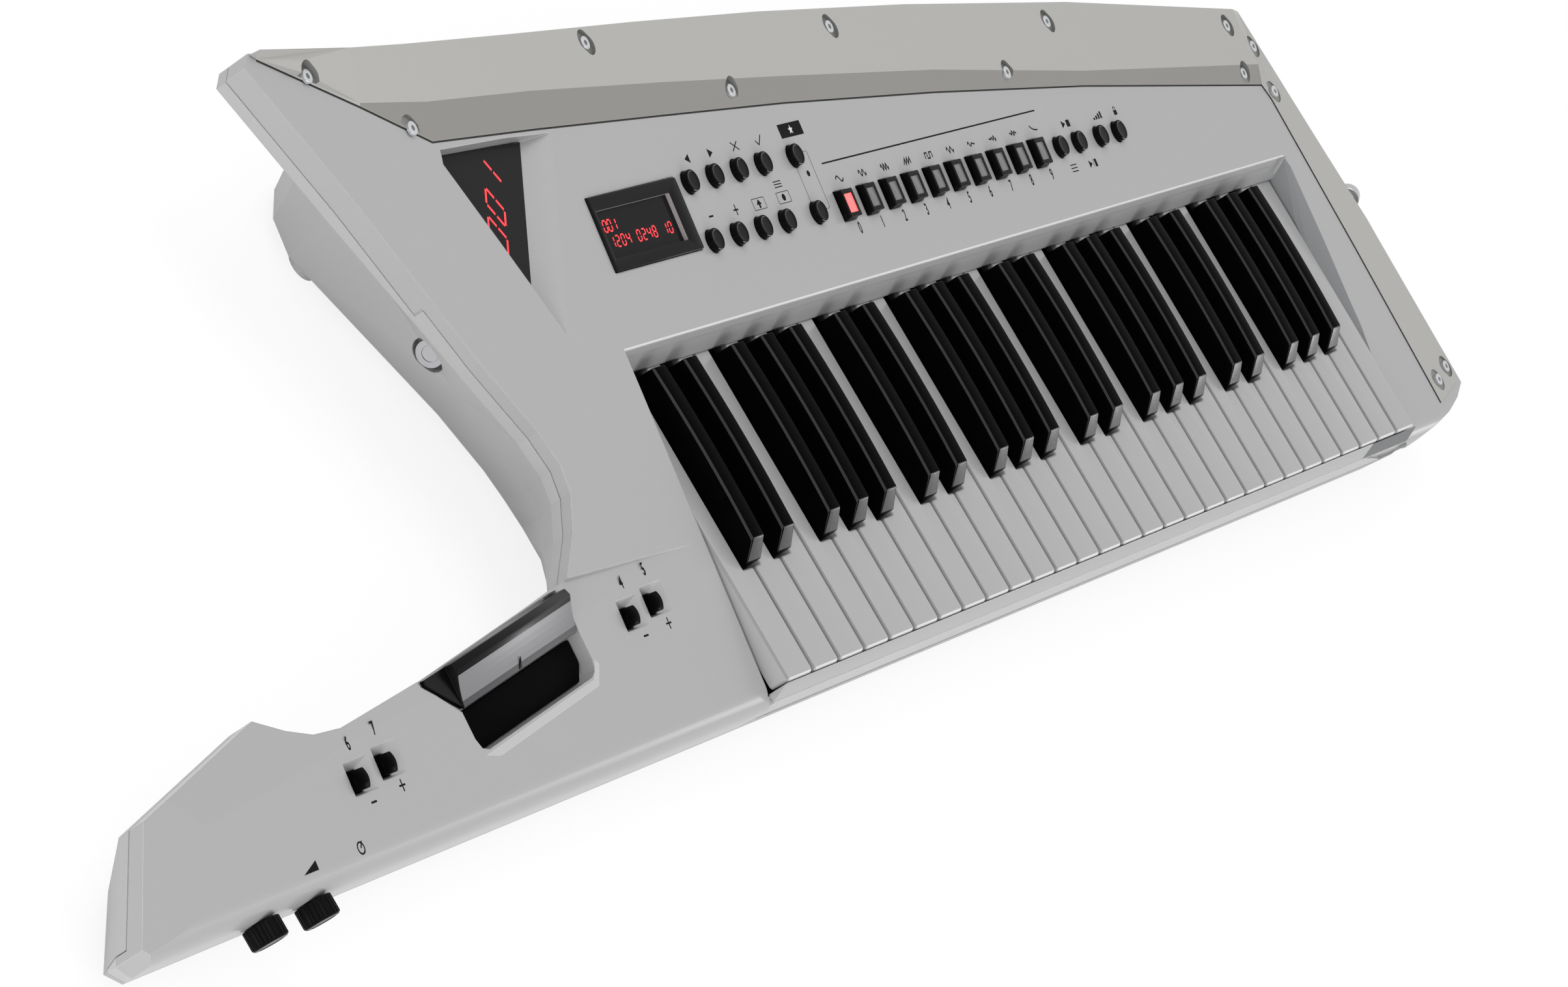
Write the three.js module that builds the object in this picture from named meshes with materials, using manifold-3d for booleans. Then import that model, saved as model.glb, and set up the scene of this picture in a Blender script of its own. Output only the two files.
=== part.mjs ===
// Keytar: a keyboard synthesizer worn on a strap, 49 keys from C to C.
// Units are millimetres, +Z is up. While building, X is 0 at the left edge of the lowest key
// and grows toward the high notes, Y is 0 at the front edge of the white keys and grows to the
// rear blade, and Z is 0 at the tops of the white keys. At the end the whole is moved so that
// the origin lies at the middle of its bounding box's bottom.
// "Deck" coordinates are x, v, w: v runs rearward on the sloping deck, w is the height above it.
import * as THREE from 'three';
import { mergeVertices } from 'three/addons/utils/BufferGeometryUtils.js';
import Module from 'manifold-3d';

const wasm = await Module();
wasm.setup();

// Fits that the whole instrument shares
const seatGap = 0.3; // between pieces that rest on each other
const sideGap = 0.4; // round a cap in its hole
const overrun = 20; // how far a cut runs past what it cuts
const sink = 0.5; // how deep joined solids run into each other
const turn = Math.PI * 2;
const quarterTurn = Math.PI / 2;

// Keys
const whiteCount = 29;
const keyPitch = 23.5;
const keySlit = 1;
const whiteLength = 133.3;
const whiteHeight = 9;
const noseSetback = 2.6;
const noseRound = 1.2;
const keyShell = 1.6;
const lipCover = 2.5;
const whiteArmWidth = 10;
const whiteArmTop = 4;
const whiteArmHeight = 4;
const pivotBack = 26.7;
const pivotDrop = 6;
const pivotRadius = 3;
const blackFront = 47.8;
const blackRun = 6.9;
const blackHeight = 10;
const blackChin = 0.5;
const blackFoot = 12.6;
const blackCrown = 10;
const blackDrop = 8;
const blackTail = 2.8;
const blackGap = 0.6;
const blackShell = 2;
const blackArmWidth = 6;
const blackArmTop = 0.5;
const blackArmHeight = 4.5;
const webFront = 10.7;
const webDepth = 10;
const webHeight = 6.5;
const webLift = 1.5;
const octaves = 4;
const whitesPerOctave = 7;
const blackGrooves = [1, 2, 4, 5, 6];
const blackShiftShares = [-0.075, 0.075, -0.128, 0, 0.128]; // of the key pitch
const keyboardWidth = whiteCount * keyPitch;
const pivotY = whiteLength + pivotBack;

// Casing: overall sizes, walls and where the two mouldings meet
const neckLength = 463;
const endLength = 98;
const frontOffset = 5;
const rearDepth = 145.7;
const bodyDepth = frontOffset + whiteLength + rearDepth;
const baseDrop = 45;
const deckTilt = THREE.MathUtils.degToRad(8.36);
const deckRise = 10.4;
const wall = 3;
const skin = 3;
const floorThickness = 2.5;
const bodyRim = 10;
const neckRim = 14;
const bodySplit = 5;
const neckSplit = 9;
const neckZoneEnd = 125;
const bodyApron = 28;
const neckApron = 38;
const apronStepStart = 25;
const apronStepRun = 15;
const apronDepth = 8;
const apronEnd = 60;
const railSetback = 1;
const railStart = 3;
const railOver = 8;
const frontRound = 9;
const frontSteps = 10;
const roundSteps = 6;
const facetTilt = THREE.MathUtils.degToRad(8);
const headTilt = THREE.MathUtils.degToRad(6);

// Well that the keys lie in
const wellSide = 1.5;
const wellRight = 1;
const wellFlare = 3.5;
const wellFront = 1;
const scoopDepth = 7;
const scoopRise = 1;
const scoopWidth = 8;
const scoopBack = 6;
// Right edge of the well at deck height: share of the scoop's width, then of the keys' length
const scoopShares = [[0.02, 0.12], [0.62, 0.26], [0.93, 0.42], [0.85, 0.52], [0.81, 0.72], [0.5, 1.046]];
const lipHeight = 0.8;
const lipThickness = 2.5;
const lipRun = 6.1;
const lipRise = 10.5;
const lipRoot = 3.2;
const lipRootDrop = 2.3;
const cheekWidth = 3;
const cheekDrop = 16;
const notchDepth = 1.5;
const notchLiner = 1.5;

// Outline of the casing, counterclockwise from the head's front corner.
// A place is a zone (neck, keys or end), a share of its length and a share of the depth.
// Each row is the rim, then the base, then for the wing the belly with its share of the drop.
const outlineShares = [
  [['NECK', 0.987, 0], ['NECK', 0.931, 0.009]],
  [['END', 0.24, 0], ['END', 0.24, 0.009]],
  [['END', 0.5, 0.01], ['END', 0.43, 0.018]],
  [['END', 0.7, 0.022], ['END', 0.6, 0.034]],
  [['END', 0.87, 0.039], ['END', 0.74, 0.054]],
  [['END', 0.995, 0.06], ['END', 0.83, 0.088]],
  [['END', 0.69, 0.37], ['END', 0.475, 0.37]],
  [['END', 0.515, 0.5], ['END', 0.31, 0.496]],
  [['END', 0.19, 0.76], ['KEYS', 0.996, 0.711]],
  [['KEYS', 0.744, 0.835], ['KEYS', 0.731, 0.778]],
  [['KEYS', 0.5, 0.889], ['KEYS', 0.489, 0.835]],
  [['KEYS', 0.297, 0.922], ['KEYS', 0.285, 0.868]],
  [['KEYS', 0.097, 0.947], ['KEYS', 0.085, 0.891]],
  [['NECK', 0.255, 0.982], ['NECK', 0.097, 0.93], ['NECK', 0.097, 0.951], -0.04],
  [['NECK', 0.389, 1], ['NECK', 0.16, 0.912], ['NECK', 0.216, 0.947], 0.04],
  [['NECK', 0.402, 0.982], ['NECK', 0.186, 0.873], ['NECK', 0.246, 0.891], 0.11],
  [['NECK', 0.324, 0.789], ['NECK', 0.195, 0.817], ['NECK', 0.238, 0.824], 0.18],
  [['NECK', 0.238, 0.546], ['NECK', 0.112, 0.553], ['NECK', 0.194, 0.546], 0.29],
  [['NECK', 0.193, 0.44], ['NECK', 0.092, 0.46], ['NECK', 0.17, 0.43], 0.32],
  [['NECK', 0.18, 0.39], ['NECK', 0.087, 0.415], ['NECK', 0.162, 0.383], 0.34],
  [['NECK', 0.182, 0.353], ['NECK', 0.084, 0.37], ['NECK', 0.165, 0.35], 0.36],
  [['NECK', 0.203, 0.305], ['NECK', 0.084, 0.32], ['NECK', 0.184, 0.306], 0.38],
  [['NECK', 0.242, 0.25], ['NECK', 0.108, 0.25], ['NECK', 0.19, 0.25], 0.48],
  [['NECK', 0.279, 0.241], ['NECK', 0.259, 0.211]],
  [['NECK', 0.49, 0.197], ['NECK', 0.479, 0.167]],
  [['NECK', 0.645, 0.173], ['NECK', 0.633, 0.145]],
  [['NECK', 0.683, 0.177], ['NECK', 0.667, 0.148]],
  [['NECK', 0.714, 0.193], ['NECK', 0.695, 0.16]],
  [['NECK', 0.748, 0.218], ['NECK', 0.723, 0.18]],
  [['NECK', 0.933, 0.153], ['NECK', 0.888, 0.116]],
  [['NECK', 1, 0.018], ['NECK', 0.946, 0.028]],
];
const bellyShare = 0.35; // how far down the other stations have their belly
// Creases of the neck's facets, and the plan of the deck that each facet covers
const rearCreaseShares = [['NECK', 0.011, 0.236], ['NECK', 0.87, 0.12]];
const rearFacetShares = [
  ['NECK', 0.011, 0.236], ['NECK', 0.242, 0.25], ['NECK', 0.25, 0.35],
  ['NECK', 1.05, 0.35], ['NECK', 1.05, 0.0957],
];
const headCreaseShares = [['NECK', 0.87, 0.12], ['NECK', 0.946, 0.008]];
const headFacetShares = [
  ['NECK', 0.692, 0.382], ['NECK', 1.05, 0.382], ['NECK', 1.05, -0.1], ['NECK', 1.019, -0.1],
];
// Slanting finger notch at the right end of the front rail, as zone, share and depth share
const notchShares = [
  ['KEYS', 0.927, 0.22], ['END', 0.087, 0.62], ['END', 0.3, 0.61],
  ['END', 0.3, 0.54], ['END', 0.19, 0.36], ['END', 0.046, 0.22],
];

// Rear trim blade with its screws, in zones and shares: inner edge, crease, outer edge
// Each station ends with the shares of the blade's height at its inner and outer edge
const bladeHeight = 4.7;
const bladeShares = [
  [['NECK', 0.38, 0.99], ['NECK', 0.381, 0.991], ['NECK', 0.388, 0.998], 0.2, 1],
  [['NECK', 0.257, 0.905], ['NECK', 0.256, 0.909], ['NECK', 0.255, 0.979], 0.2, 1],
  [['NECK', 0.169, 0.84], ['NECK', 0.168, 0.89], ['NECK', 0.168, 0.97], 0.2, 1],
  [['KEYS', 0, 0.827], ['KEYS', 0, 0.875], ['KEYS', 0, 0.956], 0.2, 1],
  [['KEYS', 0.15, 0.807], ['KEYS', 0.15, 0.849], ['KEYS', 0.15, 0.939], 0.2, 1],
  [['KEYS', 0.308, 0.785], ['KEYS', 0.308, 0.819], ['KEYS', 0.308, 0.918], 0.2, 1],
  [['KEYS', 0.512, 0.749], ['KEYS', 0.511, 0.778], ['KEYS', 0.506, 0.884], 0.2, 1],
  [['KEYS', 0.732, 0.703], ['KEYS', 0.729, 0.722], ['KEYS', 0.742, 0.834], 0.2, 1],
  [['END', 0.112, 0.632], ['END', 0.09, 0.664], ['END', 0.03, 0.762], 0.2, 1],
  [['END', 0.16, 0.605], ['END', 0.165, 0.61], ['END', 0.163, 0.758], 0.57, 0.25],
  [['END', 0.245, 0.508], ['END', 0.25, 0.509], ['END', 0.49, 0.498], 0.57, 0.25],
  [['END', 0.408, 0.324], ['END', 0.413, 0.325], ['END', 0.658, 0.368], 0.57, 0.25],
  [['END', 0.641, 0.041], ['END', 0.646, 0.042], ['END', 0.934, 0.067], 0.57, 0.25],
];
const screwShares = [
  ['NECK', 0.321, 0.956], ['NECK', 0.196, 0.862], ['KEYS', 0.087, 0.924],
  ['KEYS', 0.242, 0.817], ['KEYS', 0.396, 0.875], ['KEYS', 0.616, 0.749],
  ['KEYS', 0.704, 0.811], ['KEYS', 0.986, 0.738], ['KEYS', 0.989, 0.657],
  ['END', 0.17, 0.696], ['END', 0.2, 0.615], ['END', 0.7, 0.078], ['END', 0.852, 0.094],
];
const screwSeat = 0.8;
const recessRadius = 4.4;
const recessStretch = 2.2;
const screwHeadRadius = 2.7;
const screwHeadHeight = 1.3;
const hexRadius = 1.3;
const hexDepth = 0.9;
const hexSides = 6;
const screwSides = 12;

// Triangular display well with the red digits
const digitMouthShares = [
  ['NECK', 0.162, 0.8275], ['NECK', 0.1663, 0.808], ['NECK', 0.0842, 0.549], ['KEYS', 0.0176, 0.817],
];
const digitFloorShares = [
  ['NECK', 0.161, 0.825], ['NECK', 0.1655, 0.808], ['NECK', 0.1004, 0.6], ['NECK', 0.0099, 0.82],
];
const digitWellDepth = 8;
const tubWall = 2;
const glassThickness = 1.2;

// Display, buttons and the board under the panel, all on the deck
const displayLeft = 16.5;
const displayWidth = 75.8;
const displayFront = 36;
const displayDepth = 30.5;
const displayProud = 1;
const displayPocket = 2.2;
const windowWidth = 62.8;
const windowDepth = 19.5;
const windowInset = 0.8;
const windowLeftMargin = 1.4;
const windowFrontMargin = 5;
const capProud = 3;
const programCapProud = 3.5;
const roundCapRadius = 4.7;
const roundCapEdge = 0.6;
const capSides = 20;
const frontRow = 38;
const rearRow = 63;
const editFirst = 102.5;
const editPitch = 22.2;
const editCount = 4;
const bankX = 198.8;
const programFirst = 225.9;
const programPitch = 22;
const programCount = 10;
const programCapWidth = 11;
const programCapDepth = 12.6;
const programWindow = 8;
const programWindowInset = 0.4;
const playerFirst = 447.9;
const playerPitch = 20.5;
const playerPairs = 45.1;
const gangTop = 4.5;
const gangThickness = 1;
const gangMargin = 1.2;
const boardTop = 8;
const boardThickness = 1.6;
const boardMargin = 6;
const boardBossRadius = 3;
const boardBossShares = [
  [0.02, 0.07], [0.02, 0.93], [0.44, 0.5], [0.6, 0.93], [0.8, 0.93], [0.98, 0.93],
];

// Neck: touch ribbon, modulation bar, switches and knobs
const barTurn = THREE.MathUtils.degToRad(6.8);
const barPlaceShare = 0.471; // of the neck's length, where the bar's left end lies
const barFrontY = 35;
const barLength = 97.7;
const barWidth = 16.6;
const barFace = 14;
const barRise = 4.6;
const barRear = 3.6;
const barLip = 0.4;
const barBelly = 1.7;
const barEyeDrop = 5.3;
const barEyeRun = 4.5;
const barPivotFromRear = 3.4;
const barPivotDrop = 2.4;
const barPinRadius = 1.2;
const barPinReach = 3.4;
const barTipLength = 17;
const barTipThickness = 2;
const barRearPlay = 0.7;
const pinPlay = 0.3;
const ribbonFront = 17;
const ribbonSide = 2;
const ribbonDepth = 7;
const ribbonThickness = 1.2;
const ribbonWidth = 16;
const ribbonTurnout = 6;
const capWidth = 9;
const capDepth = 7.4;
const capFlat = 1.4;
const capCrownRise = 1;
const capFlange = 1.8;
const funnelDepth = 2.2;
const funnelSide = 8;
const funnelRear = 3.2;
const funnelFront = 1;
const switchShares = [
  ['program_down_switch', 'NECK', 0.6551, 0.1069], ['program_up_switch', 'NECK', 0.6102, 0.1128],
  ['octave_down_switch', 'NECK', 0.1736, 0.1763], ['octave_up_switch', 'NECK', 0.1287, 0.183],
];
const knobNames = ['volume_knob', 'control_knob'];
const knobFromEnd = 82;
const knobPitch = 35;
const knobDrop = 19;
const knobRadius = 7;
const knobLength = 8;
const knobEdge = 0.8;
const knurlCount = 24;
const knurlDepth = 0.4;
const shaftRadius = 3;
const shaftLength = 12;
const shaftBossRadius = 6;
const shaftBossLength = 4;

// Key chassis and the boards inside
const chassisTop = 24;
const chassisThickness = 2;
const chassisFront = 4;
const chassisSide = 0.5;
const chassisFlange = 4.5;
const chassisFlangeThickness = 2.5;
const railFront = 6;
const railRear = 6.3;
const postRadius = 4;
const chassisPostShares = [[0.09, 0.12], [0.36, 0.12], [0.64, 0.12], [0.92, 0.12],
  [0.09, 0.9], [0.36, 0.9], [0.64, 0.9], [0.92, 0.9]];
const contactFront = 60;
const contactDepth = 50;
const mainBoardLeft = 290;
const mainBoardWidth = 120;
const mainBoardFront = 170;
const mainBoardDepth = 30;
const mainBoardLift = 6.5;
const mainPostShares = [[0.08, 0.12], [0.92, 0.12], [0.08, 0.88], [0.92, 0.88]];
const chipSize = 14;
const chipHeight = 2.4;
const chipShares = [[0.3, 0.4], [0.62, 0.6]];

// Battery bay, jack plate, feet and strap pins
const cellRadius = 7.25;
const cellLength = 50.5;
const cellColumns = 4;
const cellRows = 2;
const holderWall = 2;
const holderHeight = 9;
const batteryLeft = 62;
const batteryGap = 2.5;
const batteryFront = pivotY + railRear + batteryGap;
const coverThickness = 2;
const coverLedge = 2;
const hingePlay = 1;
const jackLeft = 520;
const jackWidth = 140;
const jackBackShare = 0.67606; // of the body's depth
const jackBack = jackBackShare * bodyDepth - frontOffset;
const jackTop = 18;
const jackBottom = 40;
const jackPlate = 3;
const jackReach = 5;
const jackBoreDepth = 8;
// Each socket's place along the plate, then its outer and bore radius as shares of the height
const jackShares = [
  [0.1, 0.25, 0.15], [0.27, 0.3, 0.16], [0.44, 0.3, 0.16], [0.63, 0.4, 0.34], [0.84, 0.4, 0.34],
];
const footRadius = 7;
const footHeight = 4;
const footShares = [
  ['NECK', 0.168, 0.806], ['KEYS', 0.939, 0.651], ['KEYS', 0.03, 0.053], ['KEYS', 0.968, 0.053],
];
const pinRadius = 3;
const pinHead = 6;
const pinHeadThickness = 5;
const pinFlangeThickness = 2;
const pinLength = 17;
const pinSides = 20;
const rightPinShares = [['END', 0.65, 0.4], ['END', 0.515, 0.5], ['END', 0.69, 0.37]];
const rightPinDrop = 1;
const leftPinShares = [['NECK', 0.201, 0.602], ['NECK', 0.194, 0.546], ['NECK', 0.238, 0.824]];
const leftPinDrop = 13;
const leftPocketRadius = 7.5;
const leftPocketDepth = 9;
const leftPinReach = 7.5;
const leftHeadThickness = 3;

// Materials, one for each kind of surface
function finish(name, colour, roughness, metalness) {
  return new THREE.MeshStandardMaterial({ name, color: colour, roughness, metalness, flatShading: true });
}
const materials = {
  casing: finish('light_grey_plastic', 0xb0b0b0, 0.45, 0),
  base: finish('base_grey_plastic', 0xa6a6a6, 0.5, 0),
  blade: finish('blade_lacquer', 0xb0afaa, 0.35, 0.1),
  ivory: finish('white_key_plastic', 0xb4b4b4, 0.3, 0),
  ebony: finish('black_key_plastic', 0x0a0a0a, 0.12, 0),
  dark: finish('dark_plastic', 0x151515, 0.4, 0),
  glass: finish('display_glass', 0x101012, 0.08, 0),
  chrome: finish('bar_chrome', 0xc8c8c8, 0.18, 1),
  steel: finish('pin_steel', 0xb8b8ba, 0.25, 1),
  board: finish('board_green', 0x1d4a2e, 0.5, 0),
  chassis: finish('chassis_grey', 0x4c4f52, 0.6, 0),
  cells: finish('battery_black', 0x1c1c20, 0.5, 0),
};

// Geometry to solid and back
function solidOf(geometry, matrix) {
  const bare = geometry.clone();
  bare.deleteAttribute('normal');
  bare.deleteAttribute('uv');
  if (matrix) bare.applyMatrix4(matrix);
  const merged = mergeVertices(bare);
  const mesh = new wasm.Mesh({
    numProp: 3,
    vertProperties: new Float32Array(merged.getAttribute('position').array),
    triVerts: new Uint32Array(merged.getIndex().array),
  });
  return new wasm.Manifold(mesh);
}

function geometryOf(solid) {
  const mesh = solid.getMesh();
  const geometry = new THREE.BufferGeometry();
  geometry.setAttribute('position', new THREE.BufferAttribute(new Float32Array(mesh.vertProperties), 3));
  geometry.setIndex(new THREE.BufferAttribute(new Uint32Array(mesh.triVerts), 1));
  geometry.computeVertexNormals();
  return geometry;
}

const joined = (...solids) => wasm.Manifold.union(solids.flat());
const cut = (solid, ...tools) => solid.subtract(joined(...tools));
const common = (first, second) => first.intersect(second);

// Plain solids
function box([x0, x1], [y0, y1], [z0, z1], matrix) {
  const geometry = new THREE.BoxGeometry(x1 - x0, y1 - y0, z1 - z0);
  geometry.translate((x0 + x1) / 2, (y0 + y1) / 2, (z0 + z1) / 2);
  return solidOf(geometry, matrix);
}

function prism(points, depth, matrix) {
  const shape = new THREE.Shape(points.map(([u, v]) => new THREE.Vector2(u, v)));
  return solidOf(new THREE.ExtrudeGeometry(shape, { depth, bevelEnabled: false }), matrix);
}

const axisX = new THREE.Vector3(1, 0, 0);
const axisY = new THREE.Vector3(0, 1, 0);
const axisZ = new THREE.Vector3(0, 0, 1);

// A profile given as (y, z), run along X
function prismX(points, [x0, x1], frame = new THREE.Matrix4()) {
  const basis = new THREE.Matrix4().makeBasis(axisY, axisZ, axisX).setPosition(x0, 0, 0);
  return prism(points, x1 - x0, frame.clone().multiply(basis));
}

// A profile given as (x, z), run along Y
function prismY(points, [y0, y1]) {
  const basis = new THREE.Matrix4().makeBasis(axisX, axisZ, axisY.clone().negate()).setPosition(0, y1, 0);
  return prism(points, y1 - y0, basis);
}

// A plan given as (x, y), run along Z
function prismZ(points, [z0, z1], frame = new THREE.Matrix4()) {
  return prism(points, z1 - z0, frame.clone().multiply(new THREE.Matrix4().makeTranslation(0, 0, z0)));
}

function rod(radius, from, to, sides = capSides, endRadius = radius, frame = undefined) {
  const start = new THREE.Vector3(...from);
  const along = new THREE.Vector3(...to).sub(start);
  const geometry = new THREE.CylinderGeometry(endRadius, radius, along.length(), sides);
  geometry.translate(0, along.length() / 2, 0);
  geometry.rotateY(turn / sides / 2);
  const facing = new THREE.Quaternion().setFromUnitVectors(axisY, along.clone().normalize());
  const place = new THREE.Matrix4().makeRotationFromQuaternion(facing).setPosition(start);
  return solidOf(geometry, frame ? frame.clone().multiply(place) : place);
}

// A round rod whose ends are given in a frame of its own
const rodIn = (frame, radius, from, to) => rod(radius, from, to, capSides, radius, frame);

// Skin over rings of equally many points, closed by a flat cap at each end
function loft(rings) {
  const count = rings[0].length;
  const positions = rings.flat().flat();
  const faces = [];
  for (let level = 0; level + 1 < rings.length; level += 1) {
    for (let i = 0; i < count; i += 1) {
      const a = level * count + i;
      const b = level * count + (i + 1) % count;
      faces.push([a, b, b + count], [a, b + count, a + count]);
    }
  }
  for (const level of [0, rings.length - 1]) {
    for (const face of capFaces(rings[level])) {
      const turned = level === 0 ? [face[0], face[2], face[1]] : face;
      faces.push(turned.map((index) => index + level * count));
    }
  }
  const geometry = new THREE.BufferGeometry();
  geometry.setAttribute('position', new THREE.Float32BufferAttribute(positions, 3));
  geometry.setIndex(faces.flat());
  const solid = solidOf(geometry);
  if (solid.volume() > 0) return solid;
  geometry.setIndex(faces.map(([a, b, c]) => [a, c, b]).flat());
  return solidOf(geometry);
}

// Triangles of a ring's cap, flattened along the axis that its face looks along
function capFaces(ring) {
  const normal = new THREE.Vector3();
  ring.forEach((point, i) => {
    const next = ring[(i + 1) % ring.length];
    normal.add(new THREE.Vector3(...point).cross(new THREE.Vector3(...next)));
  });
  const size = normal.toArray().map(Math.abs);
  const axis = size.indexOf(Math.max(...size));
  const flat = ring.map((point) => new THREE.Vector2(point[(axis + 1) % 3], point[(axis + 2) % 3]));
  const forward = normal.getComponent(axis) > 0;
  const contour = forward ? flat : [...flat].reverse();
  const faces = THREE.ShapeUtils.triangulateShape(contour, []);
  if (forward) return faces;
  return faces.map(([a, b, c]) => [a, b, c].map((index) => ring.length - 1 - index).reverse());
}

// Places: plan points from shares, and the sloping deck
const zoneStart = { NECK: 0, KEYS: 0, END: keyboardWidth };
const zoneLength = { NECK: -neckLength, KEYS: keyboardWidth, END: endLength };
const plan = ([zone, along, across]) => [
  zoneStart[zone] + along * zoneLength[zone], across * bodyDepth - frontOffset,
];
const deckZ = (y) => deckRise + (y - whiteLength) * Math.tan(deckTilt);
const alongDeck = (y) => (y - whiteLength) / Math.cos(deckTilt);
const deckFrame = new THREE.Matrix4().makeTranslation(0, whiteLength, deckRise)
  .multiply(new THREE.Matrix4().makeRotationX(deckTilt));
const deckPlan = (shares) => {
  const [x, y] = plan(shares);
  return [x, alongDeck(y)];
};
const deckPoint = ([x, v], w) => new THREE.Vector3(x, v, w).applyMatrix4(deckFrame).toArray();

// Plan outline moved inward by a distance, for a counterclockwise ring
function inset(points, distance) {
  return points.map(([x, y], i) => {
    const before = points[(i + points.length - 1) % points.length];
    const after = points[(i + 1) % points.length];
    const arrive = new THREE.Vector2(x - before[0], y - before[1]).normalize();
    const leave = new THREE.Vector2(after[0] - x, after[1] - y).normalize();
    const normals = [new THREE.Vector2(-arrive.y, arrive.x), new THREE.Vector2(-leave.y, leave.x)];
    const reach = distance / (1 + normals[0].dot(normals[1]));
    return [x + (normals[0].x + normals[1].x) * reach, y + (normals[0].y + normals[1].y) * reach];
  });
}

// Body of the casing between deck and base, inset by a wall, a skin and a floor
function casingBody(side, top, bottom) {
  const rim = inset(outlineShares.map(([place]) => plan(place)), side);
  const base = inset(outlineShares.map(([, place]) => plan(place)), side);
  const rimDrop = (x) => (x < -neckZoneEnd ? neckRim : bodyRim);
  const rimZ = rim.map(([x, y]) => deckZ(y) - rimDrop(x) + top);
  const bellies = inset(outlineShares.map(([, , place], i) => {
    if (place) return plan(place);
    const [upper, lower] = [plan(outlineShares[i][0]), plan(outlineShares[i][1])];
    return upper.map((value, axis) => value + (lower[axis] - value) * bellyShare);
  }), side);
  const bellyZ = outlineShares.map(([, , place, drop], i) => {
    if (place) return top - drop * baseDrop;
    return rimZ[i] + (-baseDrop + bottom - rimZ[i]) * bellyShare;
  });
  return loft([
    base.map(([x, y]) => [x, y, -baseDrop + bottom]),
    bellies.map(([x, y], i) => [x, y, bellyZ[i]]),
    rim.map(([x, y], i) => [x, y, rimZ[i]]),
    rim.map(([x, y]) => [x, y, deckZ(y) - top]),
  ]);
}

// What a facet takes off: all above a plane that falls away behind its crease
function facetCut(creaseShares, planShares, tilt, drop) {
  const [start, end] = creaseShares.map((shares) => new THREE.Vector2(...deckPlan(shares)));
  const along = end.clone().sub(start).normalize();
  const corners = planShares.map(deckPlan);
  const fall = ([x, v]) => -Math.abs(along.cross(new THREE.Vector2(x, v).sub(start))) * Math.tan(tilt);
  return loft([
    corners.map((corner) => deckPoint(corner, fall(corner) - drop)),
    corners.map((corner) => deckPoint(corner, overrun)),
  ]);
}

// What the rounding of the front top edge takes off
function frontRounding(side, drop, [x0, x1]) {
  const centreY = frontRound - frontOffset;
  const centreZ = deckZ(centreY) - frontRound / Math.cos(deckTilt);
  const radius = frontRound - side;
  const sweep = quarterTurn - deckTilt;
  const arc = [];
  for (let step = 0; step <= frontSteps; step += 1) {
    const angle = Math.PI - sweep * step / frontSteps;
    arc.push([centreY + radius * Math.cos(angle), centreZ + radius * Math.sin(angle)]);
  }
  const last = arc[frontSteps];
  const farY = -frontOffset - overrun;
  return prismX([
    ...arc, [last[0], last[1] + overrun], [farY, last[1] + overrun], [farY, arc[0][1]],
  ], [x0, x1]);
}

function carved(side, top, bottom) {
  return cut(
    casingBody(side, top, bottom),
    facetCut(rearCreaseShares, rearFacetShares, facetTilt, top),
    facetCut(headCreaseShares, headFacetShares, headTilt, top),
    frontRounding(side, top, [-neckLength - overrun, railStart + side]),
    frontRounding(side, top, [keyboardWidth + railOver - side, keyboardWidth + endLength]),
  );
}

const outer = carved(0, 0, 0);
const cavity = carved(wall, skin, floorThickness);
const room = carved(wall + seatGap, skin, floorThickness + seatGap);

// The part of space that the top moulding takes, down to where the mouldings meet
function topRegion(grow) {
  const far = neckLength + keyboardWidth + endLength;
  const rear = [-far, far];
  const body = box([-neckZoneEnd - sink, far], rear, [-bodySplit - grow, far], deckFrame);
  const neck = box([-far, grow - neckZoneEnd], rear, [-neckSplit - grow, far], deckFrame);
  const step = apronStepStart - apronStepRun;
  const apron = prismY([
    [-far, -neckApron - grow], [step + grow, -neckApron - grow],
    [apronStepStart + grow, -bodyApron - grow], [keyboardWidth + apronEnd + grow, -bodyApron - grow],
    [keyboardWidth + apronEnd + grow, 0], [-far, 0],
  ], [-frontOffset - overrun, apronDepth - frontOffset + grow]);
  return joined(body, neck, apron);
}

// Keys' well: the opening over the keys and what lines it
function wellCut() {
  const floorZ = -chassisTop;
  const top = deckRise + overrun;
  const slope = lipRun / lipRise;
  const lipY = whiteLength + lipRun + (top - lipHeight - lipRise) * slope;
  const side = prismX([
    [-wellFront, floorZ], [whiteLength, floorZ], [whiteLength, lipHeight], [lipY, top], [-wellFront, top],
  ], [-wellSide, keyboardWidth + overrun]);
  const foot = keyboardWidth + wellRight;
  const flare = wellFlare / deckRise;
  const front = prismY([
    [-wellSide - overrun, floorZ], [foot, floorZ], [foot, 0], [foot + top * flare, top],
    [-wellSide - overrun, top],
  ], [-frontOffset, whiteLength + bodyDepth]);
  const scoop = (reach, w) => [
    ...scoopShares.map(([out, along]) => [foot + out * reach, alongDeck(along * whiteLength)]),
    [foot - scoopBack, alongDeck(whiteLength * scoopShares[scoopShares.length - 1][1])],
    [foot - scoopBack, alongDeck(whiteLength * scoopShares[0][1])],
  ].map((corner) => deckPoint(corner, w));
  const scooped = loft([
    scoop(sink * scoopShares[0][0], -scoopDepth),
    scoop(scoopWidth * (1 + scoopRise / scoopDepth), scoopRise),
  ]);
  return joined(common(side, front), scooped);
}

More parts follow.
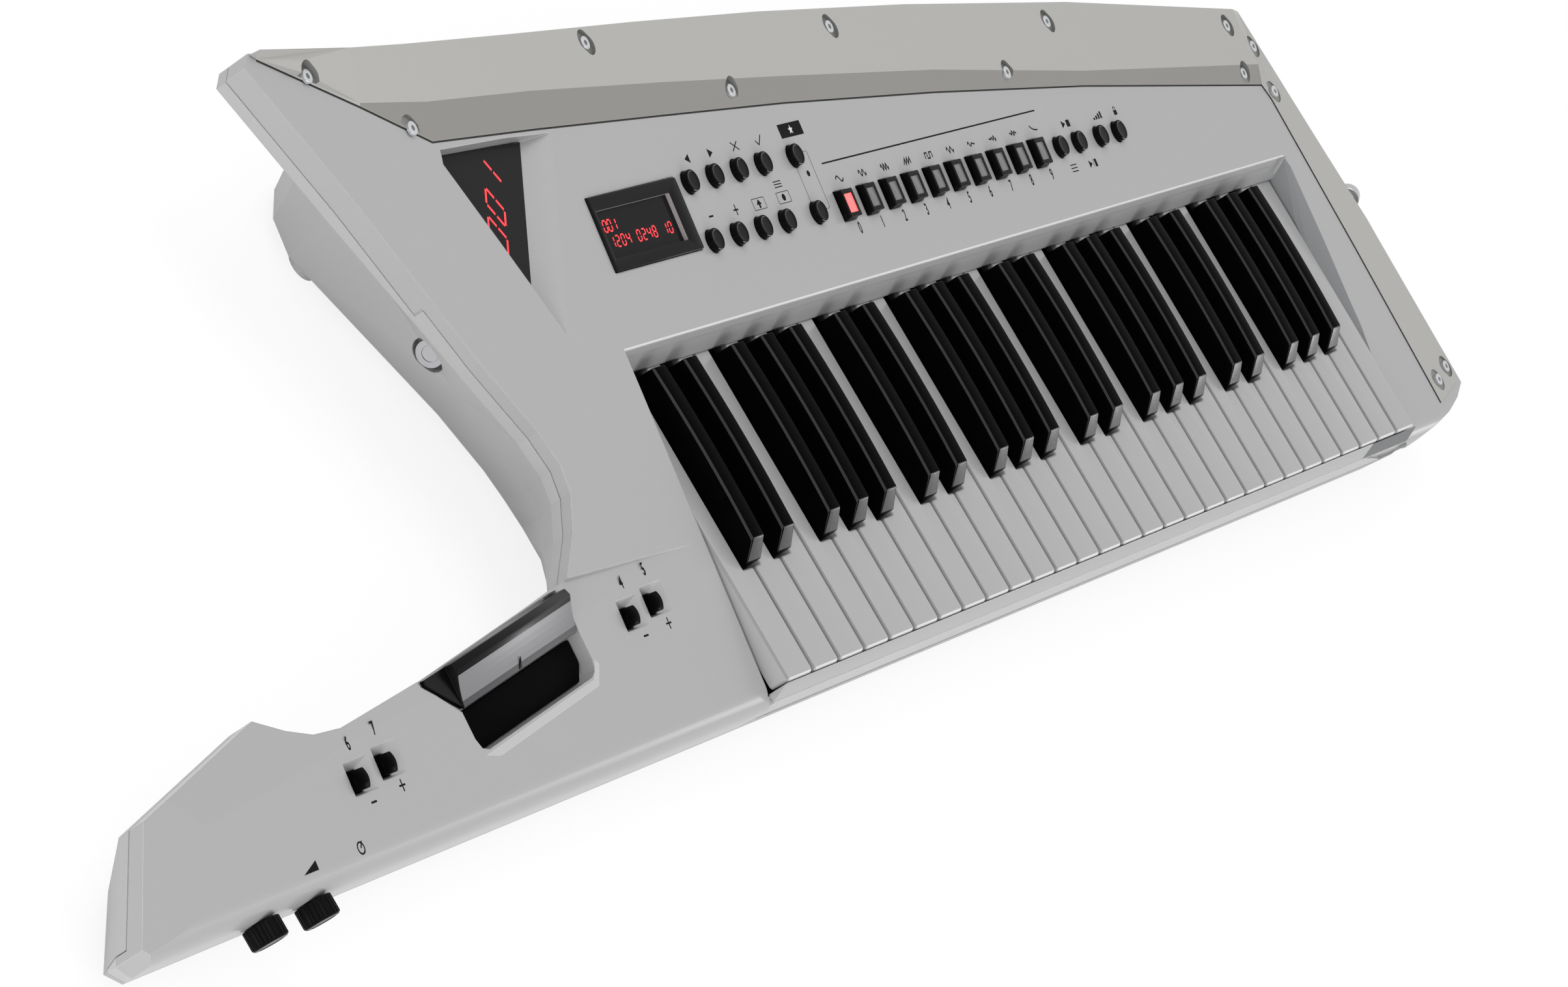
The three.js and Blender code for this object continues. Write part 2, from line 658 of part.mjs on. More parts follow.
function wellLining() {
  const deckAt = whiteLength + lipRun;
  const lip = prismX([
    [whiteLength, lipHeight], [whiteLength + lipThickness, lipHeight],
    [deckAt + lipRoot, deckZ(deckAt) - lipRootDrop], [deckAt, deckZ(deckAt) - sink],
  ], [-wellSide - cheekWidth, keyboardWidth + wellRight + wellFlare + cheekWidth]);
  const rearY = deckAt + lipRoot;
  const cheek = [
    [-wellFront, -cheekDrop], [rearY, -cheekDrop], [rearY, deckZ(rearY) - sink],
    [-wellFront, deckZ(-wellFront) - sink],
  ];
  const foot = keyboardWidth + wellRight;
  return joined(
    lip,
    prismX(cheek, [-wellSide - cheekWidth, -wellSide]),
    prismX(cheek, [foot, foot + scoopWidth + cheekWidth]),
  );
}

// Finger notch in the rail, with a liner behind it
function notchPlan() {
  return notchShares.map(([zone, along, down]) => [
    zoneStart[zone] + along * zoneLength[zone], -down * baseDrop,
  ]);
}

function notchCut() {
  return prismY(notchPlan(), [-frontOffset - overrun, railSetback - frontOffset + notchDepth]);
}

function notchLining() {
  const xs = notchPlan().map(([x]) => x);
  const span = [Math.min(...xs) - wall, Math.min(Math.max(...xs), keyboardWidth + apronEnd) - wall];
  const y = railSetback - frontOffset + notchDepth;
  return box(span, [y - sink, y + notchLiner], [seatGap - bodyApron, deckZ(0) - skin]);
}

// The rail under the key fronts stands back from the neck and the right end
function railCut() {
  return box([railStart, keyboardWidth + railOver], [-frontOffset - overrun, railSetback - frontOffset],
    [-bodyApron - seatGap, overrun]);
}

// Well of the red digits: its hollow and the tub round it
const digitTaper = (w) => digitMouthShares.map((mouth, i) => {
  const [top, bottom] = [deckPlan(mouth), deckPlan(digitFloorShares[i])];
  return top.map((value, axis) => value + (bottom[axis] - value) * -w / digitWellDepth);
});

function digitHollow(grow, top, bottom) {
  return loft([bottom, top].map((w) => inset(digitTaper(w), -grow).map((corner) => deckPoint(corner, w))));
}

// Bar frame: a runs along the modulation bar, b rearward, w up from the deck
const barFrame = deckFrame.clone()
  .multiply(new THREE.Matrix4().makeTranslation(-barPlaceShare * neckLength, alongDeck(barFrontY), 0))
  .multiply(new THREE.Matrix4().makeRotationZ(barTurn));
const barPivot = [barWidth - barPivotFromRear, -barPivotDrop];

// Plan of the recess in which ribbon and bar lie, grown outward by its wall
function recessPlan(grow) {
  const right = barLength + ribbonSide;
  const rear = barWidth + barRearPlay;
  const front = -ribbonFront;
  return inset([
    [-ribbonSide + ribbonTurnout, front], [right - ribbonTurnout, front],
    [right - ribbonTurnout * (1 - Math.SQRT1_2), front + ribbonTurnout * (1 - Math.SQRT1_2)],
    [right, front + ribbonTurnout], [right, rear],
    [-barTipLength - ribbonSide, rear], [-barTipLength - ribbonSide, rear - barTipThickness - sink],
    [-ribbonSide, -sink], [-ribbonSide, front + ribbonTurnout],
    [-ribbonSide + ribbonTurnout * (1 - Math.SQRT1_2), front + ribbonTurnout * (1 - Math.SQRT1_2)],
  ], -grow);
}

function recessHollow() {
  const pins = [-barPinReach - pinPlay, barLength + barPinReach + pinPlay];
  return joined(
    prismZ(recessPlan(0), [-ribbonDepth, overrun], barFrame),
    rodIn(barFrame, barPinRadius + pinPlay, [pins[0], ...barPivot], [pins[1], ...barPivot]),
  );
}

// Funnel and hole of a neck switch
const switchPlace = ([, zone, along, across]) => deckPlan([zone, along, across]);

function switchHole(place) {
  const [x, v] = switchPlace(place);
  const halfX = capWidth / 2 + sideGap;
  const halfV = capDepth / 2 + sideGap;
  const hole = box([x - halfX, x + halfX], [v - halfV, v + halfV], [-overrun, overrun], deckFrame);
  const rings = [-funnelDepth, overrun].map((w) => {
    const widening = 1 + w / funnelDepth;
    const right = x + halfX + funnelSide * widening;
    const front = v - halfV - funnelFront * widening;
    const rear = v + halfV + funnelRear * widening;
    return [[x - halfX, front], [right, front], [right, rear], [x - halfX, rear]]
      .map((corner) => deckPoint(corner, w));
  });
  return joined(hole, loft(rings));
}

// Button places on the deck, as named gangs
const editXs = Array.from({ length: editCount }, (_, i) => editFirst + i * editPitch);
const programXs = Array.from({ length: programCount }, (_, i) => programFirst + i * programPitch);
const playerXs = [0, playerPitch, playerPairs, playerPairs + playerPitch].map((step) => playerFirst + step);
const roundGangs = {
  cursor_buttons: editXs.map((x) => [x, rearRow]),
  edit_buttons: editXs.map((x) => [x, frontRow]),
  bank_buttons: [[bankX, frontRow], [bankX, rearRow]],
  player_buttons: playerXs.map((x) => [x, frontRow]),
};

function buttonHoles() {
  const round = Object.values(roundGangs).flat().map(([x, v]) => (
    rodIn(deckFrame, roundCapRadius + sideGap, [x, v, -overrun], [x, v, overrun])
  ));
  const square = programXs.map((x) => box(
    [x - programCapWidth / 2 - sideGap, x + programCapWidth / 2 + sideGap],
    [frontRow - programCapDepth / 2 - sideGap, frontRow + programCapDepth / 2 + sideGap],
    [-overrun, overrun], deckFrame,
  ));
  return joined(round, square);
}

// Panel board: under the display and all buttons
const boardSpan = {
  x: [displayLeft, playerXs[playerXs.length - 1] + roundCapRadius + boardMargin],
  v: [frontRow - programCapDepth / 2 - boardMargin, rearRow + roundCapRadius + boardMargin],
};
const within = ([low, high], share) => low + (high - low) * share;

function boardBosses() {
  return boardBossShares.map(([along, across]) => {
    const [x, v] = [within(boardSpan.x, along), within(boardSpan.v, across)];
    return rodIn(deckFrame, boardBossRadius, [x, v, seatGap - boardTop], [x, v, sink - skin]);
  });
}

function displaySpan(grow) {
  return [
    [displayLeft - grow, displayLeft + displayWidth + grow],
    [displayFront - grow, displayFront + displayDepth + grow],
  ];
}

// Knob places on the neck's front face
const knobXs = knobNames.map((name, i) => knobFromEnd - neckLength + i * knobPitch);

function shaftBosses() {
  const inner = -frontOffset + wall;
  return knobXs.map((x) => (
    rod(shaftBossRadius, [x, inner - sink, -knobDrop], [x, inner + shaftBossLength, -knobDrop])
  ));
}

function shaftHoles() {
  return knobXs.map((x) => (
    rod(shaftRadius + pinPlay, [x, -frontOffset - overrun, -knobDrop], [x, overrun, -knobDrop])
  ));
}

// Top moulding: deck, rim, front apron, and all that the panel carries
function topCase() {
  const region = topRegion(0);
  const shell = common(cut(outer, cavity), region);
  const inside = joined(region, room);
  const tubs = joined(
    digitHollow(tubWall, sink - skin, -digitWellDepth - tubWall),
    prismZ(recessPlan(tubWall), [-ribbonDepth - tubWall, sink - skin], barFrame),
    box(...displaySpan(tubWall), [-displayPocket - tubWall, sink - skin], deckFrame),
    wellLining(), notchLining(), boardBosses(), shaftBosses(),
  );
  return cut(
    joined(shell, common(common(tubs, inside), outer)),
    wellCut(), railCut(), notchCut(), digitHollow(0, overrun, -digitWellDepth), recessHollow(),
    switchShares.map(switchHole), buttonHoles(), shaftHoles(),
    box(...displaySpan(seatGap), [-displayPocket, overrun], deckFrame),
  );
}

// Battery bay sizes, shared by the base, the cells and the cover
const cellBlockX = cellColumns * cellLength + (cellColumns + 1) * holderWall;
const cellBlockY = cellRows * 2 * cellRadius + 2 * holderWall;
const bay = {
  x: [batteryLeft, batteryLeft + cellBlockX],
  y: [batteryFront, batteryFront + cellBlockY],
};
const coverHingeY = bay.y[1] - coverLedge - coverThickness / 2 - seatGap;

// Right-hand frames of the strap pins: local X points out of the wall
function wallFrame([place, from, to], z) {
  const [x, y] = plan(place);
  const [[x0, y0], [x1, y1]] = [plan(from), plan(to)];
  const outward = Math.atan2(y1 - y0, x1 - x0) + quarterTurn;
  return new THREE.Matrix4().makeTranslation(x, y, z).multiply(new THREE.Matrix4().makeRotationZ(outward));
}
const rightPinFrame = wallFrame(rightPinShares, -rightPinDrop);
const leftPinFrame = wallFrame(leftPinShares, -leftPinDrop);

function posts(places, span, [z0, z1]) {
  return places.map(([along, across]) => {
    const [x, y] = [within(span.x, along), within(span.y, across)];
    return rod(postRadius, [x, y, z0], [x, y, z1]);
  });
}

const chassisSpan = {
  x: [-chassisSide, keyboardWidth + chassisSide],
  y: [chassisFront, pivotY + railRear],
};
const mainSpan = {
  x: [mainBoardLeft, mainBoardLeft + mainBoardWidth], y: [mainBoardFront, mainBoardFront + mainBoardDepth],
};
const mainBoardBottom = floorThickness + mainBoardLift - baseDrop;

// Bottom moulding: the rest of the shell, with posts, battery bay, jack bay and feet
function bottomCase() {
  const region = topRegion(seatGap);
  const floorZ = floorThickness - baseDrop;
  const jackBox = (grow, rear) => box(
    [jackLeft - grow, jackLeft + jackWidth + grow], [jackBack - grow, rear],
    [-jackBottom - grow, -jackTop + grow],
  );
  const pocket = [-leftPocketDepth, 0, 0];
  const added = joined(
    jackBox(tubWall, bodyDepth),
    posts(chassisPostShares, chassisSpan, [floorZ - sink, -chassisTop - chassisThickness - seatGap]),
    posts(mainPostShares, mainSpan, [floorZ - sink, mainBoardBottom - seatGap]),
    rodIn(leftPinFrame, leftPocketRadius + tubWall, [pocket[0] - tubWall, 0, 0], [0, 0, 0]),
  );
  const feet = footShares.map((place) => {
    const [x, y] = plan(place);
    return rod(footRadius, [x, y, -baseDrop - footHeight], [x, y, sink - baseDrop]);
  });
  const coverHole = box(
    [bay.x[0] + coverLedge, bay.x[1] - coverLedge], [bay.y[0] + coverLedge, bay.y[1] - coverLedge],
    [-baseDrop - overrun, -baseDrop + overrun],
  );
  const shell = cut(
    joined(cut(outer, cavity), common(added, outer)),
    region, jackBox(0, bodyDepth + overrun), coverHole,
    rodIn(leftPinFrame, leftPocketRadius, pocket, [overrun, 0, 0]),
  );
  return joined(shell, feet);
}

// Trim blade on the deck, with its screws in their recesses
function trimBlade() {
  const rings = bladeShares.map(([...station]) => {
    const [innerHeight, outerHeight] = station.splice(3);
    const [inner, crease, outside] = station.map(deckPlan);
    const creaseHeight = Math.min(1, innerHeight + (outerHeight > innerHeight ? 1 : 0));
    return [
      deckPoint(inner, seatGap), deckPoint(outside, seatGap),
      deckPoint(outside, seatGap + bladeHeight * outerHeight),
      deckPoint(crease, seatGap + bladeHeight * creaseHeight),
      deckPoint(inner, seatGap + bladeHeight * innerHeight),
    ];
  });
  const stretch = recessStretch * Math.SQRT1_2;
  const places = screwShares.map(deckPlan);
  const upright = (radius, [x, v], low, high, sides, topRadius) => (
    rod(radius, [x, v, low], [x, v, high], sides, topRadius, deckFrame)
  );
  const recesses = places.map(([x, v]) => joined([-1, 1].map((side) => (
    upright(recessRadius, [x + side * stretch, v - side * stretch], screwSeat, overrun, screwSides)
  ))));
  const heads = places.map((place) => (
    upright(screwHeadRadius, place, screwSeat - sink, screwSeat + screwHeadHeight, screwSides)
  ));
  const sockets = places.map((place) => (
    upright(hexRadius, place, screwSeat + screwHeadHeight - hexDepth, overrun, hexSides)
  ));
  return cut(joined(cut(loft(rings), recesses), heads), sockets);
}

// Black keys: where they stand in an octave
const blackCentres = blackGrooves.map((groove, i) => (groove + blackShiftShares[i]) * keyPitch);
const blackSlot = blackFoot / 2 + blackGap;

// The free width of a white key between its black neighbours, from the key's own left edge
function narrowPart(note, last) {
  const left = note * keyPitch;
  const near = last ? [] : blackCentres.map((centre) => centre - left);
  const lows = near.filter((centre) => centre < keyPitch / 2).map((centre) => centre + blackSlot);
  const highs = near.filter((centre) => centre > keyPitch / 2).map((centre) => centre - blackSlot);
  return [Math.max(keySlit / 2, ...lows), Math.min(keyPitch - keySlit / 2, ...highs)];
}

function whiteKey(note, last) {
  const slit = keySlit / 2;
  const wide = [slit, keyPitch - slit];
  const narrow = narrowPart(note, last);
  const rear = whiteLength + lipCover;
  const body = prismX([
    [noseRound, 0], [noseRound / 4, -noseRound / 4], [0, -noseRound], [noseSetback, -whiteHeight],
    [rear, -whiteHeight], [rear, 0],
  ], wide);
  const beside = [blackFront - blackGap, rear + overrun];
  const sides = [[-overrun, narrow[0]], [narrow[1], keyPitch + overrun]]
    .filter((side, i) => (i === 0 ? narrow[0] > slit : narrow[1] < keyPitch - slit))
    .map((side) => box(side, beside, [-whiteHeight - overrun, overrun]));
  const hollow = [-whiteHeight - overrun, -keyShell];
  const inside = ([low, high]) => [low + keyShell, high - keyShell];
  const hollows = joined(
    box(inside(wide), [noseSetback + keyShell, beside[0] - keyShell], hollow),
    box(inside(narrow), [beside[0] - keyShell - sink, rear - keyShell], hollow),
  );
  const middle = (narrow[0] + narrow[1]) / 2;
  const arm = [middle - whiteArmWidth / 2, middle + whiteArmWidth / 2];
  return joined(
    cut(body, hollows, sides),
    box(arm, [rear - keyShell, pivotY], [-whiteArmTop - whiteArmHeight, -whiteArmTop]),
    rod(pivotRadius, [arm[0], pivotY, -pivotDrop], [arm[1], pivotY, -pivotDrop]),
  );
}

function blackKey(centre) {
  const rear = whiteLength - blackTail;
  const section = (half, front, z) => [
    [centre - half, front, z], [centre + half, front, z],
    [centre + half, rear, z], [centre - half, rear, z],
  ];
  const foot = blackFoot / 2;
  const body = loft([
    section(foot, blackFront, -blackDrop), section(foot, blackFront, blackChin),
    section(blackCrown / 2, blackFront + blackRun, blackHeight),
  ]);
  const hollow = box(
    [centre - blackCrown / 2 + blackShell, centre + blackCrown / 2 - blackShell],
    [blackFront + blackRun + blackShell, rear - blackShell],
    [-blackDrop - overrun, blackHeight - blackShell],
  );
  const arm = [centre - blackArmWidth / 2, centre + blackArmWidth / 2];
  return joined(
    cut(body, hollow),
    box(arm, [rear - sink, pivotY], [-blackArmTop - blackArmHeight, -blackArmTop]),
    rod(pivotRadius, [arm[0], pivotY, -pivotDrop], [arm[1], pivotY, -pivotDrop]),
  );
}

function blackKeys() {
  const ends = [blackCentres[0], blackCentres[blackCentres.length - 1]];
  const web = box(
    [ends[0] - blackArmWidth / 2, ends[1] + blackArmWidth / 2],
    [whiteLength + webFront, whiteLength + webFront + webDepth], [-webLift, webHeight - webLift],
  );
  return joined(blackCentres.map(blackKey), web);
}

// Chassis: a tray with a front flange and the rail that all keys rock on
function keyChassis() {
  const top = -chassisTop;
  const floor = box(chassisSpan.x, chassisSpan.y, [top - chassisThickness, top]);
  const flange = box(
    chassisSpan.x, [chassisFront, chassisFront + chassisFlangeThickness], [top - sink, top + chassisFlange],
  );
  const radius = pivotRadius + seatGap;
  const arc = [];
  for (let step = 0; step <= roundSteps; step += 1) {
    const angle = -quarterTurn + quarterTurn * step / roundSteps;
    arc.push([pivotY + radius * Math.cos(angle), -pivotDrop + radius * Math.sin(angle)]);
  }
  const rail = prismX([
    [pivotY - railFront, top - sink], [pivotY + railRear, top - sink], [pivotY + railRear, -pivotDrop],
    ...arc.reverse(), [pivotY - railFront, -pivotDrop - radius],
  ], chassisSpan.x);
  return joined(floor, flange, rail);
}

// Boards and the glass
function contactBoard() {
  const z = seatGap - chassisTop;
  return box([0, keyboardWidth], [contactFront, contactFront + contactDepth], [z, z + boardThickness]);
}

function mainBoard() {
  const top = mainBoardBottom + boardThickness;
  const chips = chipShares.map(([along, across]) => {
    const [x, y] = [within(mainSpan.x, along), within(mainSpan.y, across)];
    return box([x, x + chipSize], [y - chipSize / 2, y + chipSize / 2], [top - sink, top + chipHeight]);
  });
  return joined(box(mainSpan.x, mainSpan.y, [mainBoardBottom, top]), chips);
}

const panelBoard = () => box(boardSpan.x, boardSpan.v, [-boardTop - boardThickness, -boardTop]);

function displayBezel() {
  const plate = box(...displaySpan(0), [seatGap - displayPocket, displayProud]);
  const [x, v] = [displayLeft + windowLeftMargin, displayFront + windowFrontMargin];
  return cut(plate, box([x, x + windowWidth], [v, v + windowDepth], [displayProud - windowInset, overrun]));
}

const ledWindow = () => {
  const low = seatGap - digitWellDepth;
  return digitHollow(-seatGap, low + glassThickness, low);
};

// Buttons: caps that share a thin web under the deck
function webUnder(spanX, spanV) {
  return box(
    [spanX[0] - gangMargin, spanX[1] + gangMargin], [spanV[0] - gangMargin, spanV[1] + gangMargin],
    [-gangTop - gangThickness, -gangTop],
  );
}

function roundButtons(places) {
  const caps = places.map(([x, v]) => joined(
    rod(roundCapRadius, [x, v, -gangTop - sink], [x, v, capProud - roundCapEdge]),
    rod(roundCapRadius, [x, v, capProud - roundCapEdge], [x, v, capProud], capSides,
      roundCapRadius - roundCapEdge),
  ));
  const span = (axis) => [
    Math.min(...places.map((place) => place[axis])) - roundCapRadius,
    Math.max(...places.map((place) => place[axis])) + roundCapRadius,
  ];
  return joined(caps, webUnder(span(0), span(1)));
}

function programButtons() {
  const halfX = programCapWidth / 2;
  const halfV = programCapDepth / 2;
  const caps = programXs.map((x) => cut(
    box([x - halfX, x + halfX], [frontRow - halfV, frontRow + halfV], [-gangTop - sink, programCapProud]),
    box([x - programWindow / 2, x + programWindow / 2],
      [frontRow - programWindow / 2, frontRow + programWindow / 2],
      [programCapProud - programWindowInset, overrun]),
  ));
  const ends = [programXs[0] - halfX, programXs[programXs.length - 1] + halfX];
  return joined(caps, webUnder(ends, [frontRow - halfV, frontRow + halfV]));
}

// Neck pieces. A switch cap is built round its own middle on the deck
function switchCap() {
  const half = capDepth / 2;
  const top = [];
  for (let step = 0; step <= roundSteps; step += 1) {
    const share = step / roundSteps * 2 - 1;
    top.push([-share * half, capFlat + capCrownRise * (1 - share * share)]);
  }
  const cap = prismX(
    [...top, [-half, -gangTop - sink], [half, -gangTop - sink]], [-capWidth / 2, capWidth / 2],
  );
  const flange = box(
    [-capWidth / 2 - capFlange, capWidth / 2 + capFlange], [-half - capFlange, half + capFlange],
    [-gangTop - gangThickness, -gangTop],
  );
  return joined(cap, flange);
}

// The bar's section as (b, w), drawn with its pivot as the origin
function modulationBar() {
  const [pivotB, pivotW] = barPivot;
  const section = [
    [0, -barLip], [sink, barLip], [barFace, barRise], [barWidth, barRear], [barWidth, -barPivotDrop],
    [barWidth - sink * 2, -barEyeDrop + sink], [barWidth - barEyeRun, -barEyeDrop],
    [barWidth - barPivotFromRear * 2, -barBelly - sink], [sink * 2, -barBelly],
  ].map(([b, w]) => [b - pivotB, w - pivotW]);
  const body = prismX(section, [0, barLength]);
  const rear = barWidth - pivotB;
  const low = barBelly + pivotW;
  const ring = (a, front, top) => [
    [a, front, -low], [a, rear, -low], [a, rear, top], [a, front, top - barLip],
  ];
  const tip = loft([
    ring(sink, sink - pivotB, barLip - pivotW),
    ring(-barTipLength, rear - barTipThickness, barLip - pivotW),
  ]);
  const pin = rod(barPinRadius, [-barPinReach, 0, 0], [barLength + barPinReach, 0, 0]);
  return joined(body, tip, pin);
}

function ribbon() {
  const low = seatGap - ribbonDepth;
  return box(
    [0, barLength], [ribbonTurnout / 2 - ribbonFront, ribbonWidth - ribbonFront],
    [low, low + ribbonThickness],
  );
}

// A knob: knurled cap on a shaft, its axis along Y, the origin on the neck's front face
function knob() {
  const outline = Array.from({ length: knurlCount * 2 }, (_, i) => {
    const angle = turn * i / (knurlCount * 2);
    const radius = knobRadius - (i % 2) * knurlDepth;
    return [radius * Math.cos(angle), radius * Math.sin(angle)];
  });
  const back = -seatGap;
  const face = -knobLength;
  const cap = prismY(outline, [face + knobEdge, back]);
  const edge = rod(
    knobRadius - knurlDepth, [0, face + knobEdge, 0], [0, face, 0], knurlCount, knobRadius - knobEdge,
  );
  return joined(cap, edge, rod(shaftRadius, [0, back - sink, 0], [0, shaftLength, 0]));
}

// Strap pin along its own X: flange on the wall, stem, head
function strapPin(start, reach, headThickness) {
  const length = start + reach;
  const head = length - headThickness;
  return joined(
    rod(pinHead, [start, 0, 0], [start + pinFlangeThickness, 0, 0], pinSides),
    rod(pinRadius, [start, 0, 0], [length - sink, 0, 0], pinSides),
    rod(pinHead, [head, 0, 0], [length - knobEdge, 0, 0], pinSides),
    rod(pinHead, [length - knobEdge, 0, 0], [length, 0, 0], pinSides, pinHead - knobEdge),
  );
}

// Battery pack: cells lying in a holder, and the cover that closes the bay
const packBottom = floorThickness - baseDrop + seatGap;

function batteryPack() {
  const tray = box(
    [bay.x[0], bay.x[1]], [bay.y[0], bay.y[1]], [packBottom, packBottom + holderHeight],
  );
  const cells = [];
  for (let column = 0; column < cellColumns; column += 1) {
    const x = bay.x[0] + holderWall + column * (cellLength + holderWall);
    for (let row = 0; row < cellRows; row += 1) {
      const y = bay.y[0] + holderWall + (row * 2 + 1) * cellRadius;
      const z = packBottom + holderWall + cellRadius;
      cells.push(rod(cellRadius - seatGap / 2, [x, y, z], [x + cellLength, y, z], pinSides));
    }
  }
  return joined(tray, cells);
}

function batteryCover() {
  const edge = coverLedge + seatGap;
  return box(
    [bay.x[0] + edge, bay.x[1] - edge],
    [bay.y[0] + edge - coverHingeY, bay.y[1] - coverLedge - hingePlay - coverHingeY],
    [-coverThickness / 2, coverThickness / 2],
  );
}

// Jack plate: sockets in a row, looking to the rear
function jackPanel() {
  const y = jackBack + seatGap;
  const height = jackBottom - jackTop;
  const z = -(jackBottom + jackTop) / 2;
  const face = y + jackPlate;
  const plate = box(
    [jackLeft + seatGap, jackLeft + jackWidth - seatGap], [y, face],
    [seatGap - jackBottom, -jackTop - seatGap],
  );
  const along = (share) => jackLeft + share * jackWidth;
  const barrels = jackShares.map(([place, around]) => (
    rod(around * height, [along(place), face - sink, z], [along(place), face + jackReach, z], pinSides)
  ));
  const bores = jackShares.map(([place, , bore]) => (
    rod(bore * height, [along(place), face + jackReach + sink, z],
      [along(place), face + jackReach - jackBoreDepth + seatGap, z], pinSides)
  ));
  return cut(joined(plate, barrels), bores);
}

// The instrument, put together
const group = new THREE.Group();
group.name = 'keytar';
const instrument = new THREE.Group();
group.add(instrument);
const deck = new THREE.Group();
deck.applyMatrix4(deckFrame);
instrument.add(deck);

function place(parent, name, solid, material, position = [0, 0, 0]) {
  const mesh = new THREE.Mesh(geometryOf(solid), material);
  mesh.name = name;
  mesh.position.set(...position);
  parent.add(mesh);
  return mesh;
}

place(instrument, 'top_case', topCase(), materials.casing);
place(instrument, 'bottom_case', bottomCase(), materials.base);
place(instrument, 'trim_blade', trimBlade(), materials.blade);
place(instrument, 'key_chassis', keyChassis(), materials.chassis);
place(instrument, 'key_contact_board', contactBoard(), materials.board);
place(instrument, 'main_board', mainBoard(), materials.board);
place(instrument, 'battery_pack', batteryPack(), materials.cells);
place(instrument, 'jack_panel', jackPanel(), materials.dark);
place(instrument, 'led_window', ledWindow(), materials.glass);
place(instrument, 'battery_cover', batteryCover(), materials.base,
  [0, coverHingeY, coverThickness / 2 - baseDrop]);

for (let index = 0; index < whiteCount; index += 1) {
  const number = String(index + 1).padStart(2, '0');
  const solid = whiteKey(index % whitesPerOctave, index === whiteCount - 1);
  place(instrument, `white_key_${number}`, solid, materials.ivory, [index * keyPitch, 0, 0]);
}
for (let octave = 0; octave < octaves; octave += 1) {
  const left = octave * whitesPerOctave * keyPitch;
  place(instrument, `black_keys_${octave + 1}`, blackKeys(), materials.ebony, [left, 0, 0]);
}

place(deck, 'panel_board', panelBoard(), materials.board);
place(deck, 'display_bezel', displayBezel(), materials.dark);
place(deck, 'program_buttons', programButtons(), materials.dark);
for (const [name, places] of Object.entries(roundGangs)) {
  place(deck, name, roundButtons(places), materials.dark);
}
for (const row of switchShares) {
  place(deck, row[0], switchCap(), materials.dark, [...switchPlace(row), 0]);
}

const barGroup = new THREE.Group();
barGroup.applyMatrix4(barFrame);
instrument.add(barGroup);
place(barGroup, 'ribbon_controller', ribbon(), materials.dark);
place(barGroup, 'modulation_bar', modulationBar(), materials.chrome, [0, ...barPivot]);

knobNames.forEach((name, i) => {
  place(instrument, name, knob(), materials.dark, [knobXs[i], -frontOffset, -knobDrop]);
});

const rightPin = place(
  instrument, 'strap_pin_right', strapPin(seatGap, pinLength, pinHeadThickness), materials.steel,
);
rightPin.applyMatrix4(rightPinFrame);
const leftPin = place(
  instrument, 'strap_pin_left', strapPin(seatGap - leftPocketDepth, leftPinReach, leftHeadThickness),
  materials.steel,
);
leftPin.applyMatrix4(leftPinFrame);

// Origin at the middle of the bounding box's bottom
const bounds = new THREE.Box3().setFromObject(group, true);
const middle = bounds.getCenter(new THREE.Vector3());
instrument.position.set(-middle.x, -middle.y, -bounds.min.z);

export default group;
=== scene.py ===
"""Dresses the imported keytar: keys, buttons, bar, knobs, screws, displays, printed marks, finishes, studio.

Shapes are worked out in millimetres in small frames of their own and then put into the row frame
in metres. The keyboard frame has X along the keys from the low end, Y rearward from the fronts of
the white keys and Z up from their tops. The deck frame (x, v, w) lies on the sloping top, with v
rearward and w off the surface. The bar frame (a, b, w) is the deck frame turned to the modulation bar.
"""
import math

import bpy
import numpy as np
from bpy.props import FloatProperty, FloatVectorProperty, IntProperty, PointerProperty
from mathutils import Matrix, Vector
from mathutils.bvhtree import BVHTree


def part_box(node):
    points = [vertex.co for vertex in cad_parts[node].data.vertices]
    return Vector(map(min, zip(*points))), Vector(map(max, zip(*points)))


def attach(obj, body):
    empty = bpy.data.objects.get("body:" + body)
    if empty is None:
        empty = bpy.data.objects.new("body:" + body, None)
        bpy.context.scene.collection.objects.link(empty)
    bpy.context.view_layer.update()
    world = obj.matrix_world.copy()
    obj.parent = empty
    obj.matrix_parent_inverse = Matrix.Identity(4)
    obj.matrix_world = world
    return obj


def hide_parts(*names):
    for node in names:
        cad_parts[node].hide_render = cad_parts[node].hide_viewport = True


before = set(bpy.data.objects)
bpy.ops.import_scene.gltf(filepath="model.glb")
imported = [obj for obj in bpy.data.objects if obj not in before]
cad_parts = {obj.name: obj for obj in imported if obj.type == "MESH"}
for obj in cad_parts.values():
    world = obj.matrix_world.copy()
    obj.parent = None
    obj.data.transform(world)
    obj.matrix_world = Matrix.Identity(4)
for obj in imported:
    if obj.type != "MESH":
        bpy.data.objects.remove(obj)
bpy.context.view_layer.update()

bl_info = {
    "name": "Keytar builder",
    "version": (1, 0, 0),
    "blender": (4, 5, 0),
    "location": "3D View > Sidebar > Keytar",
    "description": "Dresses the packed keytar with its visible pieces, finishes and studio",
    "category": "Object",
}

